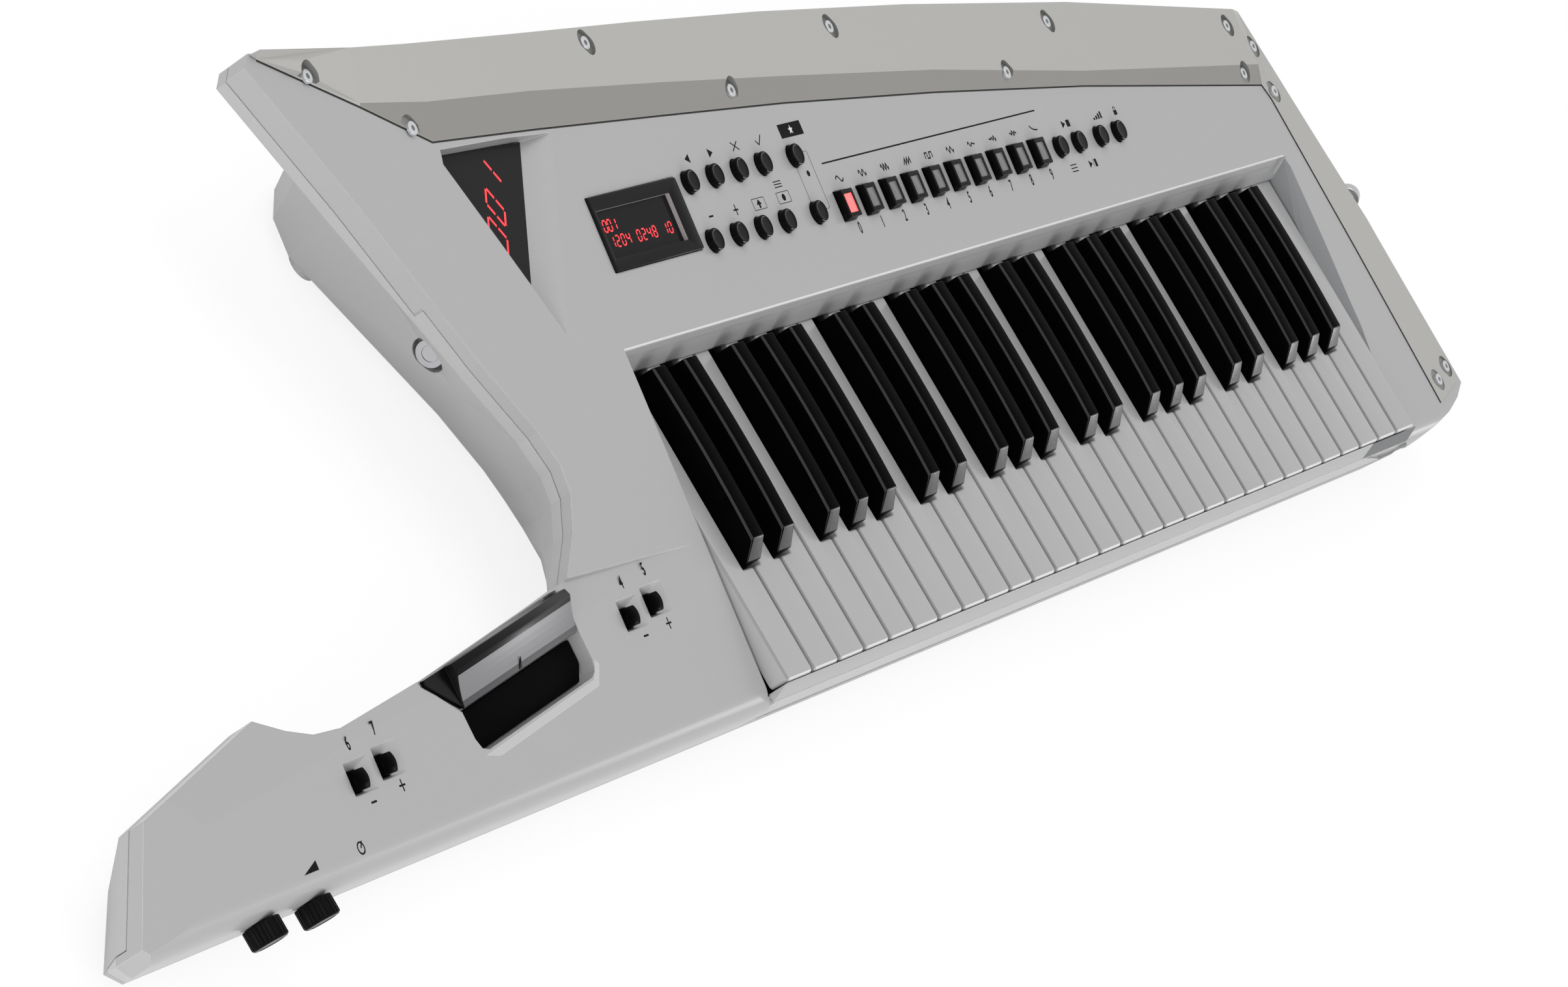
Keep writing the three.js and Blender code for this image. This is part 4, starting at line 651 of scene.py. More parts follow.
class KEYTAR_OT_white_keys(bpy.types.Operator):
    """Builds the white keys with rounded corners, edges and leaning fronts, with a painted shade on the
    left long edge and a painted highlight on the front edge
    """
    bl_idname = "keytar.white_keys"
    bl_label = "White keys"

    def execute(self, context):
        sizes = context.scene.keytar_sizes

        def edges(normals, centres, marks):
            """1 on the rounded long edge on the left, a painted shade, 2 on the upper part of the rounded
            front edge, a painted highlight.
            """
            x, y, z = normals.T
            marks = np.where((x < -0.3) & (z > 0.12) & (centres[:, 1] > KEYS[1, 3] + 0.001), 1, marks)
            return np.where((y < -0.35) & (y > -0.75) & (z > 0.5) & (np.abs(x) < 0.3), 2, marks)

        coats = ["ivory_plastic", "ivory_edge", "edge_light"]
        corner, edge = millimetres(sizes.key_corner), millimetres(sizes.key_edge)
        for index in range(WHITE_COUNT):
            name = f"{index + 1:02d}"
            solids = white_solids(index % 7, index == WHITE_COUNT - 1, corner, edge)
            place = KEYS @ moved(index * KEY_PITCH, 0, 0)
            build("ivory_" + name, at(place, *solids), coats, "white_key_" + name,
                  ["white_key_" + name], shade=edges)
        return {"FINISHED"}


# Lip of the rail. The brow is the crease where the deck meets the slope behind the keys.
BROW_V = 6.6
TILE_SUNK, TILE_PROUD = 0.0003, 0.0001


def wall_tiles():
    """A thin tile over each facet of the casing that looks left beside the last key, which carries a
    painted shade: the facet's corners, moved along its normal to just inside and just outside the casing."""
    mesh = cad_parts["top_case"].data
    normals, centres = (field(mesh.polygons, key) for key in ("normal", "center"))
    corners = field(mesh.vertices, "co")
    x, y, z = np.linalg.solve(KEYS[:3, :3], (centres - KEYS[:3, 3]).T)
    chosen = ((x > KEYBOARD_WIDTH + 0.5) & (x < KEYBOARD_WIDTH + 16) & (y > 8) & (y < WHITE_LENGTH + 1)
              & (z > -12) & (normals[:, 0] < -0.3))
    tiles = []
    for i in np.flatnonzero(chosen):
        face = corners[list(mesh.polygons[i].vertices)]
        tiles.append(loft([face - normals[i] * TILE_SUNK, face + normals[i] * TILE_PROUD]))
    if not tiles:
        raise RuntimeError("the wall beside the last key wasn't found")
    return tiles


class KEYTAR_OT_rail(bpy.types.Operator):
    """Builds the lip that rises from the rail to the key fronts, dark grey at the finger notch on its right
    end as a painted shade, painted highlights along both edges of the keys' well, and a painted shade on
    the wall beside the last key"""
    bl_idname = "keytar.rail"
    bl_label = "Rail lip"

    def execute(self, context):
        for name, coat, start, end, top in (
            ("rail_lip", "casing_plastic", 0.3, 628.0, -0.35),
            # The lip at the notch is dark grey, a painted shade of the notch
            ("notch_lip", "notch_grey", 628.4, 686.0, -1.4),
        ):
            corners = [(-3.9, -10.6), (-0.3, -10.6), (-0.3, top), (-3.9, -10.1)]
            wedge = along_x(rounded(corners, [0.05, 0.05, 0.15, 0.05], 3), chamfered(start, end, 0.1))
            build(name, at(KEYS, wedge), [coat], "casing")
        # Painted highlights: a thin rod along the front edge of the rail's lip and a strip along the brow
        nosing = along_x(circle(0.35, 12) + (-3.55, -10.25), chamfered(3.5, 627.1, 0.1))
        brow = stroke([(-1.4, BROW_V), (KEYBOARD_WIDTH + 2, BROW_V)], 0.7, -0.05, 0.05)
        build("edge_lines", at(KEYS, nosing) + at(DECK, brow), ["edge_light"], "casing")
        # A darker tile over the wall beside the last key, a painted shade
        build("well_lining", at(np.eye(4), *wall_tiles()), ["well_shade"], "casing")
        return {"FINISHED"}


# Black keys: half their foot, how far a side leans in, the arch of the top and the height of the chin
BLACK_HALF, BLACK_LEAN = 6.3, 1.3
BLACK_ARCH, BLACK_CHIN = 0.9, 2.2
BELOW_ALL = -30


def black_section(height, draw=0.0):
    """A black key from the front, cut at a height: sides that lean in above the foot, rounded corners."""
    foot = BLACK_HALF
    half = foot - BLACK_LEAN * np.clip((height - 0.5) / 9.5, 0, 1)
    top = min(1.1, max(0.25, height / 4))
    corners = [(-foot, -8), (foot, -8), (foot, 0.4), (half, height), (-half, height), (-foot, 0.4)]
    outline = rounded(corners, [0.3, 0.3, 0.1, top, top, 0.1], 4)
    return inset(outline, draw) if draw else outline


def black_solid(crest):
    """Sections carried from front to rear: up the slope, round the crest, then along a top whose
    height falls off with the square of the distance from its middle."""
    s = np.linspace(0, 1, 9)
    along = BLACK_CREST + (BLACK_REAR - BLACK_CREST) * s
    top = np.stack([along, BLACK_TOP - BLACK_ARCH * (2 * s - 1) ** 2], 1).tolist()
    corners = [(BLACK_FRONT, BELOW_ALL), (BLACK_FRONT + 0.15, BLACK_CHIN)] + top + [(BLACK_REAR, BELOW_ALL)]
    steps = 5
    run = rounded(corners, [0.01, 0.3, crest] + [0.01] * 7 + [0.6, 0.01], steps)[steps + 1:-steps - 1]
    stations = [(0.35, BLACK_FRONT, run[0][1])] + [(0.0, y, z) for y, z in run]
    rings = []
    for draw, y, height in stations:
        section = black_section(height, draw)
        rings.append(np.column_stack([section[:, 0], np.full(len(section), y), section[:, 1]]))
    return loft(rings)


class KEYTAR_OT_black_keys(bpy.types.Operator):
    """Builds the black keys of each octave with their sloping fronts and the web that joins them, with a
    painted sheen on the slope and a painted highlight on the left long edge
    """
    bl_idname = "keytar.black_keys"
    bl_label = "Black keys"

    def execute(self, context):
        crest = millimetres(context.scene.keytar_sizes.crest)
        coats = ["ebony_plastic", "ebony_slope", "ebony_edge"]
        key = black_solid(crest)
        arm = block(rectangle(-3, 3, BLACK_REAR - 0.5, PIVOT_Y, 0.4, 2), -5, -0.5, 0.2, 0.2, 2)
        pivot = pivot_rod(0, 3)
        reach = BLACK_CENTRES[0] - 3, BLACK_CENTRES[-1] + 3
        web = block(rectangle(*reach, 144, 154, 0.5, 2), -1.5, 5, 0.2, 0.3, 2)

        def slopes(normals, centres, marks):
            """1 on the slope's inner part, a painted sheen, and 2 on the rounded long edge on the left, a
            painted highlight.
            """
            across = (centres[:, 0] - KEYS[0, 3]) * 1000 % (7 * KEY_PITCH)
            off = np.abs(across[:, None] - BLACK_CENTRES).min(1)
            height = (centres[:, 2] - KEYS[2, 3]) * 1000
            slope = (normals[:, 1] < -0.35) & (normals[:, 2] > 0.3) & (off < 2.9) & (height > 3)
            edge = (normals[:, 0] < -0.45) & (normals[:, 2] > 0.3) & (height > 2)
            return np.where(slope, 1, np.where(edge, 2, marks))

        for octave in range(4):
            start = KEYS @ moved(octave * 7 * KEY_PITCH, 0, 0)
            parts = at(start, web)
            for centre in BLACK_CENTRES:
                parts += at(start @ moved(centre, 0, 0), key, arm, pivot)
            name = f"black_keys_{octave + 1}"
            build(f"ebony_{octave + 1}", parts, coats, name, [name], shade=slopes)
        return {"FINISHED"}


# Buttons
WEB_LOW, WEB_HIGH = -5.5, -4.5
CAP_RADIUS, CAP_TOP, CAP_EDGE = 4.7, 3.0, 0.5
PROGRAM_TOP, PANE_FLOOR = 3.5, 3.1


def gang_web(places, half_u, half_v):
    """The thin web that joins a gang's caps under the deck."""
    p = np.array(places)
    margin = half_u + 1.2, half_v + 1.2
    low, high = p.min(0) - margin, p.max(0) + margin
    return block(rectangle(low[0], high[0], low[1], high[1], 1.0, 2), WEB_LOW, WEB_HIGH)


def round_cap():
    """A turned cap: straight side, quarter-round edge, a flat ring and a slightly dished face."""
    t = np.linspace(0, math.pi / 2, 6)
    edge = np.stack([CAP_RADIUS - CAP_EDGE * (1 - np.cos(t)), CAP_TOP - CAP_EDGE * (1 - np.sin(t))], 1)
    dish = [(3.9, CAP_TOP), (3.7, 2.93), (3.4, 2.88), (2.0, 2.84), (0.4, 2.83)]
    return revolved([(CAP_RADIUS, -5), (CAP_RADIUS, 0)] + edge.tolist() + dish, 48)


def program_cap():
    """A cap over a narrower stem. Its rings run up the side, over the rounded edge and into the window."""
    cap = oblong(5.5, 6.1, 0.7)
    window = oblong(3.9, 4.2, 0.3)
    rings = list(upright(cap, rounded_levels(1.3, PROGRAM_TOP, 0.2, 0.35, 3)))
    rings += list(upright(window, [(0, PROGRAM_TOP), (0, PANE_FLOOR)]))
    stem = block(oblong(4.3, 6.5, 0.4), -5, 1.6, 0, 0.2, 2)
    pane = block(inset(window, 0.1), PANE_FLOOR - 0.2, PANE_FLOOR + 0.06, 0, 0.05, 2)
    return loft(rings), stem, pane


class KEYTAR_OT_buttons(bpy.types.Operator):
    """Builds the round caps and the square program caps, the first of them lit"""
    bl_idname = "keytar.buttons"
    bl_label = "Buttons"

    def execute(self, context):
        cap = round_cap()

        def glints(normals, centres, marks):
            """1 on the part of each cap's rounded edge that looks forward and right."""
            x, y, z = normals.T
            return np.where((z > 0.25) & (z < 0.93) & (0.6 * x - 0.8 * y > 0.3), 1, marks)

        for name, places in ROUND_GANGS.items():
            parts = [(cap, DECK @ moved(x, v, 0), 0) for x, v in places]
            parts += at(DECK, gang_web(places, CAP_RADIUS, CAP_RADIUS))
            build(name.removesuffix("buttons") + "caps", parts, ["cap_plastic", "cap_glint"],
                  name, [name], 40, shade=glints)
        top, stem, pane = program_cap()
        parts = at(DECK, gang_web([(x, FRONT_ROW) for x in PROGRAM_XS], 5.5, 6.3))
        for i, x in enumerate(PROGRAM_XS):
            place = DECK @ moved(x, FRONT_ROW, 0)
            parts += at(place, top, stem) + [(pane, place, 1 if i else 2)]
        build("program_caps", parts, ["cap_plastic", "window_grey", "window_lit"],
              "program_buttons", ["program_buttons"], 35)
        return {"FINISHED"}


class KEYTAR_OT_neck_switches(bpy.types.Operator):
    """Builds the four rocker caps on the neck, barrel-shaped on top"""
    bl_idname = "keytar.neck_switches"
    bl_label = "Neck switches"

    def execute(self, context):
        angle = np.linspace(1, -1, 9)
        top = np.stack([3.7 * angle, 1.4 + 1.0 * (1 - angle ** 2)], 1)
        section = rounded([(-3.7, -5), (3.7, -5)] + top.tolist(), [0.2, 0.2, 0.45] + [0.3] * 7 + [0.45], 3)
        stations = [(0.45, -4.5), (0.13, -4.37), (0, -4.05), (0, 4.05), (0.13, 4.37), (0.45, 4.5)]
        cap = along_x(section, stations)
        flange = block(oblong(6.3, 5.5, 0.5, 2), WEB_LOW, WEB_HIGH)
        for name, shares in SWITCHES.items():
            place = DECK @ moved(*deck_place("NECK", *shares), 0)
            build(name.removesuffix("switch") + "cap", at(place, cap, flange), ["ebony_plastic"],
                  name, [name], 35)
        return {"FINISHED"}


# Modulation bar and touch ribbon
BAR_REAR = 16.5
# Across the bar: where the metal face ends, and below which it takes a painted shade
METAL_ACROSS, PAINTED_SHADE_ACROSS = 11.4, 2.6


def bar_solids(dip):
    """The bar's section runs from lip to crest along a shallow parabola, then down the rear and back
    under. It is carried along the bar and drawn in at both ends. A thin wedge ends it on the left."""
    s = np.linspace(0, 1, 7)
    top = np.stack([0.5 + 13.3 * s, 0.4 + 4.2 * s - 4 * dip * s * (1 - s)], 1)[::-1]
    under = [(0.1, -0.4), (1.0, -1.7), (9.8, -2.2), (12.1, -5.2), (15.6, -4.8)]
    corners = [(BAR_REAR, -2.4), (BAR_REAR, 3.5)] + top.tolist() + under
    radii = [0.4, 0.5, 0.7] + [0.05] * 5 + [0.15, 0.25, 0.4, 0.3, 0.8, 0.4]
    section = rounded(corners, radii, 3)
    stations = [(0.4, 0), (0.12, 0.12), (0, 0.4), (0, 97.3), (0.12, 97.58), (0.4, 97.7)]
    bar = along_x(section, stations)

    def end(a, front, low, high):
        return np.array([(a, front, low), (a, BAR_REAR, low), (a, BAR_REAR, high), (a, front, high - 0.3)])

    tip = loft([end(0.3, 0.6, -1.7, 0.4), end(-8.5, 7.6, -1.7, 0.4), end(-16.8, 14.6, -1.6, 0.3)])
    pin = along_x(circle(1.2, 20) + (13.2, -2.4), chamfered(-3.4, 101.1, 0.2))
    return bar, tip, pin


class KEYTAR_OT_touch_parts(bpy.types.Operator):
    """Builds the modulation bar, the touch ribbon in front of it and a pale band round their recess, a
    painted highlight where the recess's chamfer catches the light
    """
    bl_idname = "keytar.touch_parts"
    bl_label = "Bar and ribbon"

    def execute(self, context):
        bar, tip, pin = bar_solids(millimetres(context.scene.keytar_sizes.bar_dip))
        axes = BAR[:3, :3] / np.linalg.norm(BAR[:3, :3], axis=0)

        def rims(normals, centres, marks):
            """The face that looks forward and up is metal, darker low down as a painted shade. The rest is
            black.
            """
            a, b, w = (normals @ axes).T
            across = np.linalg.solve(BAR[:3, :3], (centres - BAR[:3, 3]).T)[1]
            face = (b < -0.12) & (w > 0.2) & (np.abs(a) < 0.3) & (across < METAL_ACROSS) & (marks == 0)
            return np.where(face, np.where(across < PAINTED_SHADE_ACROSS, 2, 0), 1)

        corners = np.array([(47.0, 0.7, 0.45), (49.2, 0.7, 0.45), (49.9, 4.6, 1.65)])
        nick = loft([corners - (0, 0, 0.2), corners + (0, 0, 0.12)])
        build("chrome_bar", at(BAR, bar, pin) + [(tip, BAR, 1), (nick, BAR, 1)],
              ["satin_chrome", "dark_plastic", "satin_shade"], "modulation_bar",
              ["modulation_bar"], 25, shade=rims)
        corners = [(-1.4, -16.6), (93.3, -16.6), (99.2, -10.7), (99.2, -1.1), (-1.4, -1.1)]
        pad = block(rounded(corners, [1, 2.5, 2.5, 1, 1], 4), -6.9, -5.5, 0, 0.4, 3)
        build("ribbon_pad", at(BAR, pad), ["ribbon_film"], "casing", ["ribbon_controller"])
        # A flat band in a lighter grey: a painted highlight of the recess's chamfer
        corners = [(0, -18.1), (9, -21.2), (95, -20.9), (102.2, -14.2), (100.6, -12.2), (93.6, -18.0)]
        band = flat_shape(corners, -0.05, 0.05)
        build("ribbon_band", at(BAR, band), ["casing_light"], "casing")
        return {"FINISHED"}


# Knobs: keyboard x of each, their depth below the key tops, and the share of the radius a groove takes
KNOBS = {"volume_knob": -381.0, "control_knob": -346.0}
KNOB_DEPTH = 19
KNURL_SHARE = 0.055


class KEYTAR_OT_knobs(bpy.types.Operator):
    """Builds the two knurled knobs on the front of the neck"""
    bl_idname = "keytar.knobs"
    bl_label = "Knobs"

    def execute(self, context):
        knurls = context.scene.keytar_sizes.knurls

        def ridges(angle):
            return 1 - KNURL_SHARE * (0.5 + 0.5 * np.cos(angle * knurls)) ** 2

        cap = revolved([(6.6, 0.3), (7.0, 0.6), (7.0, 7.0), (6.75, 7.5)], knurls * 8, ridges)
        rim = [(6.5, 7.2), (6.5, 7.6), (6.2, 7.9), (5.6, 8.0), (4.9, 8.0), (4.7, 7.85), (0.5, 7.8)]
        face = revolved(rim, 64)
        shaft = revolved([(3, -12), (3, 0.8)], 32)
        turn = turned(math.pi / 2, "X")
        for name, x in KNOBS.items():
            place = KEYS @ moved(x, -FRONT_OFFSET, -KNOB_DEPTH) @ turn
            build(name.removesuffix("knob") + "grip", at(place, cap, face, shaft), ["cap_plastic"],
                  name, [name], 30)
        return {"FINISHED"}


# Strap pins: the place of the middle, two points of the wall behind it, the height, and where the pin
# starts, how far it stands out and how long its head is
STRAP_PINS = {
    "right": (("END", 0.65, 0.4), ("END", 0.515, 0.5), ("END", 0.69, 0.37), -1.0, (0.3, 17.0, 5.0)),
    "left": (("NECK", 0.201, 0.602), ("NECK", 0.194, 0.546), ("NECK", 0.238, 0.824), -13.0,
             (-8.7, 7.5, 3.0)),
}


def pin_solid(start, reach, head):
    """Turned profile along the pin: flange, waisted stem, and a rounded head with a shallow dish."""
    length = start + reach
    low = length - head
    t = np.linspace(0, math.pi / 2, 5)
    edge = np.stack([5.2 + 0.8 * np.cos(t), length - 0.8 + 0.8 * np.sin(t)], 1)
    profile = [(5.6, start), (6.0, start + 0.4), (6.0, start + 1.6), (5.6, start + 2.0), (3.4, start + 2.3),
               (3.0, start + 3.2), (3.0, low - 0.6), (3.6, low - 0.1), (5.6, low), (6.0, low + 0.4)]
    dish = [(3.4, length), (3.2, length - 0.25), (0.4, length - 0.3)]
    return revolved(profile + edge.tolist() + dish, 48)


class KEYTAR_OT_strap_pins(bpy.types.Operator):
    """Builds the two turned strap pins"""
    bl_idname = "keytar.strap_pins"
    bl_label = "Strap pins"

    def execute(self, context):
        for side, (middle, start, end, z, lengths) in STRAP_PINS.items():
            x, y = plan_place(*middle)
            (x0, y0), (x1, y1) = plan_place(*start), plan_place(*end)
            out = math.atan2(y1 - y0, x1 - x0) + math.pi / 2
            place = KEYS @ moved(x, y, z) @ turned(out, "Z") @ turned(math.pi / 2, "Y")
            build("pin_" + side, at(place, pin_solid(*lengths)), ["pin_steel"], "casing",
                  ["strap_pin_" + side], 30)
        return {"FINISHED"}


# Blade and its screws
def blade_station(zone, *values):
    """Deck x and v of a station's inner edge, crease and outer edge, and the three heights."""
    return [deck_place(zone, *values[i:i + 2]) for i in (0, 2, 4)], values[6:]


def blade_solid():
    """Five lines run through the stations: inner and outer foot, outer edge, crease and inner edge.
    Straight facets join them. The marks give the facet inside the crease a darker finish, a
    painted shade."""
    rings = []
    for station in BLADE_STATIONS:
        ((x0, v0), (x1, v1), (x2, v2)), (inner, crease, outer) = blade_station(*station)
        rings.append([(x0, v0, BLADE_SEAT), (x2, v2, BLADE_SEAT), (x2, v2, outer), (x1, v1, crease),
                      (x0, v0, inner)])
    points, faces = loft(rings)
    inside = [{5 * k + 3, 5 * k + 4, 5 * k + 8, 5 * k + 9} for k in range(*FACET_STATIONS)]
    return (points, faces), [int(set(face) in inside) for face in faces]


def screw_seats():
    """Deck x, v and height of each screw's seat: the blade's surface there, less the depth of the heads."""
    (points, faces), _ = blade_solid()
    tree = BVHTree.FromPolygons(points.tolist(), faces)
    seats = []
    for share in SCREW_SHARES:
        x, v = deck_place(*share)
        hit = tree.ray_cast(Vector((x, v, 50)), Vector((0, 0, -1)))[0]
        if hit is None:
            raise RuntimeError(f"no blade under the screw at {x:.0f}, {v:.0f}")
        seats.append((x, v, max(hit.z - HEAD_DEPTH, BLADE_SEAT + 0.35)))
    return seats


def capsule(x, v):
    """Two half circles on a slanting axis, as an outline."""
    side = RECESS_HALF * math.sqrt(0.5)
    angle = np.arange(12) * math.pi / 11 - math.pi / 2
    halves = []
    for sign, start in ((1, -math.pi / 4), (-1, 3 * math.pi / 4)):
        halves.append(np.stack([x + sign * side + RECESS_RADIUS * np.cos(angle + start),
                                v - sign * side + RECESS_RADIUS * np.sin(angle + start)], 1))
    return np.concatenate(halves)


def carved(solid, marks, cutters):
    """The solid less the cutters, by a Boolean modifier on a mesh that is taken away again. Stand-in
    finishes keep the marks through the cut, and the cut's own faces get mark 2."""
    coats = [bpy.data.materials.new(f"stand_in_{mark}") for mark in range(3)]

    def holder(name, points, faces, signs):
        mesh = meshed(name, points, faces)
        for coat in coats:
            mesh.materials.append(coat)
        mesh.polygons.foreach_set("material_index", signs)
        return linked(name, mesh)

    body = holder("carved_body", *solid, marks)
    starts = np.cumsum([0] + [len(points) for points, _ in cutters]).tolist()
    faces = [[i + start for i in face] for (_, group), start in zip(cutters, starts) for face in group]
    points = np.concatenate([points for points, _ in cutters])
    tool = holder("carving_tool", points, faces, [2] * len(faces))
    cut = body.modifiers.new("cut", "BOOLEAN")
    cut.operation, cut.solver, cut.object = "DIFFERENCE", "EXACT", tool
    left, signs = evaluated(body)
    for piece in (body, tool):
        mesh = piece.data
        bpy.data.objects.remove(piece)
        bpy.data.meshes.remove(mesh)
    for coat in coats:
        bpy.data.materials.remove(coat)
    return left, signs


class KEYTAR_OT_blade(bpy.types.Operator):
    """Builds the rear trim blade with a slanting recess round each screw, with a painted shade on the
    facet inside the crease and on the walls of the recesses
    """
    bl_idname = "keytar.blade"
    bl_label = "Blade"

    def execute(self, context):
        solid, marks = blade_solid()
        cutters = [block(capsule(x, v), low, 20) for x, v, low in screw_seats()]
        solid, signs = carved(solid, marks, cutters)
        seam = stroke([blade_station(*station)[0][0] for station in BLADE_STATIONS], SEAM_WIDTH, 0.02, 0.12)
        build("blade_seam", at(DECK, seam), ["seam_shadow"], "casing")
        # The facet inside the crease and the walls of the recesses take darker greys, painted shade
        build("rear_blade", at(DECK, solid), ["blade_lacquer", "blade_facet", "blade_recess"],
              "casing", ["trim_blade"], 12, shade=lambda normals, centres, _: signs)
        return {"FINISHED"}


class KEYTAR_OT_screws(bpy.types.Operator):
    """Lays a turned head with a six-sided socket in each recess of the blade, with a dark grey plug in
    each socket as a painted shade
    """
    bl_idname = "keytar.screws"
    bl_label = "Screws"

    def execute(self, context):
        def ring(radius, height, sides=48):
            """A ring whose radius is that of a polygon with the given sides at each of 48 angles."""
            angle = np.arange(48) * 2 * math.pi / 48
            turn = angle % (2 * math.pi / sides) - math.pi / sides
            reach = radius * math.cos(math.pi / sides) / np.cos(turn)
            return np.column_stack([reach * np.cos(angle), reach * np.sin(angle), np.full(48, height)])

        head = loft([ring(2.85, -0.1), ring(2.85, 1.0), ring(2.7, 1.22), ring(2.4, 1.32), ring(1.45, 1.32),
                     ring(1.25, 1.2, 6), ring(1.25, 0.45, 6)])
        # A dark grey plug low in each socket, a painted shade
        socket_shade = loft([ring(1.1, 0.3, 6), ring(1.1, 0.6, 6)])
        parts = []
        for seat in screw_seats():
            place = DECK @ moved(*seat)
            parts += [(head, place, 0), (socket_shade, place, 1)]
        build("blade_screws", parts, ["screw_steel", "window_grey"], "casing", crease=28)
        return {"FINISHED"}


# Displays
SEGMENTS = {"0": "abcdef", "1": "bc", "2": "abged", "4": "fgbc", "8": "abcdefg"}
SEGMENT_ENDS = {
    "a": ((0, 1), (1, 1)), "b": ((1, 1), (1, 0.5)), "c": ((1, 0.5), (1, 0)), "d": ((0, 0), (1, 0)),
    "e": ((0, 0.5), (0, 0)), "f": ((0, 1), (0, 0.5)), "g": ((0, 0.5), (1, 0.5)),
}

# The levels are the heights between which the lit figures stand
DISPLAY_OUTLINE = (16.5, 92.3, 36, 66.5, 1.2)
DISPLAY_WINDOW = (19.2, 82.2, 41, 60.8, 0.3)
DISPLAY_FLOOR = -0.9
DISPLAY_LEVELS = (DISPLAY_FLOOR + 0.02, DISPLAY_FLOOR + 0.1)
WELL_LEVELS = (-6.48, -6.38)

# Lines of the display: figures, x and v of the first, pitch, width, height and weight of a figure
DISPLAY_LINES = (
    ("001", 23.4, 52.2, 3.9, 2.7, 4.6, 0.62),
    ("1204 0248 10", 24.4, 45.6, 4.5, 2.6, 4.4, 0.55),
)

# How far the top of a figure leans over
SLANT = 0.3

# Figures of the well: upper right end of the row, step from figure to figure, width and height of one
WELL_END, WELL_STEP = np.array((-28.0, 81.5)), np.array((6.75, 10.65))
WELL_ACROSS, WELL_UP = np.array((4.1, 6.1)), np.array((-7.1, 10.2))
WELL_WEIGHT = 1.05


def segment_figure(figure, origin, across, up, width, low, high):
    """Each lit segment is a thin strip between two corners of the figure's slanting box, cut short at
    both ends. A corner lies at origin + share * across + share * up."""
    origin, across, up = (np.array(a, float) for a in (origin, across, up))
    made = []
    for letter in SEGMENTS[figure]:
        start, end = (origin + across * s + up * t for s, t in SEGMENT_ENDS[letter])
        gap = (end - start) / np.linalg.norm(end - start) * width * 0.55
        made.append(stroke([start + gap, end - gap], width, low, high))
    return made


class KEYTAR_OT_displays(bpy.types.Operator):
    """Builds the display's frame and glass, its lit figures, and the red figures in the well"""
    bl_idname = "keytar.displays"
    bl_label = "Displays"

    def execute(self, context):
        window = rectangle(*DISPLAY_WINDOW)
        rings = list(upright(rectangle(*DISPLAY_OUTLINE), rounded_levels(-1.9, 1, 0, 0.45, 4)))
        rings += list(upright(window, [(-0.35, 1), (0, 0.9), (0, DISPLAY_FLOOR)]))
        body = loft(rings)
        first = (len(rings) - 2) * len(window)
        marks = np.array([int(min(face) >= first) for face in body[1]])
        marks[-2:] = 0
        build("display_frame", at(DECK, body), ["display_glass", "window_wall"], "casing",
              ["display_bezel"], 30, shade=lambda normals, centres, _: marks)
        lit = []
        for text, x, v, pitch, width, height, weight in DISPLAY_LINES:
            for i, figure in enumerate(text):
                if figure != " ":
                    corner = x + pitch * i, v
                    up = SLANT, height
                    lit += segment_figure(figure, corner, (width, 0), up, weight, *DISPLAY_LEVELS)
        build("display_figures", at(DECK, *lit), ["lit_red"], "casing")
        lit = []
        for i, figure in enumerate("001"):
            corner = WELL_END - WELL_ACROSS + (i - 2) * WELL_STEP
            lit += segment_figure(figure, corner, WELL_ACROSS, WELL_UP, WELL_WEIGHT, *WELL_LEVELS)
        build("well_figures", at(DECK, *lit), ["lit_red"], "casing")
        return {"FINISHED"}


# Printed marks, in deck x and v. The second of two marks that cross stands a little higher.
INK_SUNK = -0.02
CROSSING = 0.005
FIGURE_SIZE, FIGURE_SHARE = 7.2, 0.66
PROGRAM_FIGURE_XS = np.linspace(231.4, 430.1, 10)
WAVE_XS = np.append([231.2], np.linspace(253.4, 430.9, 9))
WAVE_V, WAVE_WIDTH = 49.3, 0.62
FIGURES = (
    *((str(i), x, 27.2) for i, x in enumerate(PROGRAM_FIGURE_XS)),
    ("4", -75.6, -76.3), ("5", -55.6, -74.4), ("6", -299.9, -96.3), ("7", -280.3, -94.5),
)
MINUS_SIGNS = ((110.0, 47.7), (-73.4, -97.8), (-298.5, -118.0))
PLUS_SIGNS = ((132.4, 47.7), (-53.4, -96.4), (-277.0, -116.2))

# Lines: width and path
LINES = (
    (0.65, [(221.4, 57.1), (439.4, 56.6)]),
    (0.6, [(-318.0, -130.9), (-316.2, -128.6)]),
    (0.5, [(150.6, 70.9), (156.4, 74.6)]),
    (0.55, [(172.4, 72.9), (174.6, 70.9), (178.6, 74.8)]),
    *((0.4, [(172.6, v), (179.4, v)]) for v in (52.3, 53.5, 54.7)),
    *((0.45, [(452.0, v), (458.6, v)]) for v in (25.9, 27.4, 28.9)),
    (0.4, [(519.6, 47.7), (519.6, 48.6), (520.1, 49.2), (521.3, 49.2), (521.8, 48.6), (521.8, 47.7)]),
    (0.2, [(475.9, 25.4), (477.0, 29.2)]),
)
CROSSING_LINE = (0.5, [(150.6, 74.6), (156.4, 70.9)])

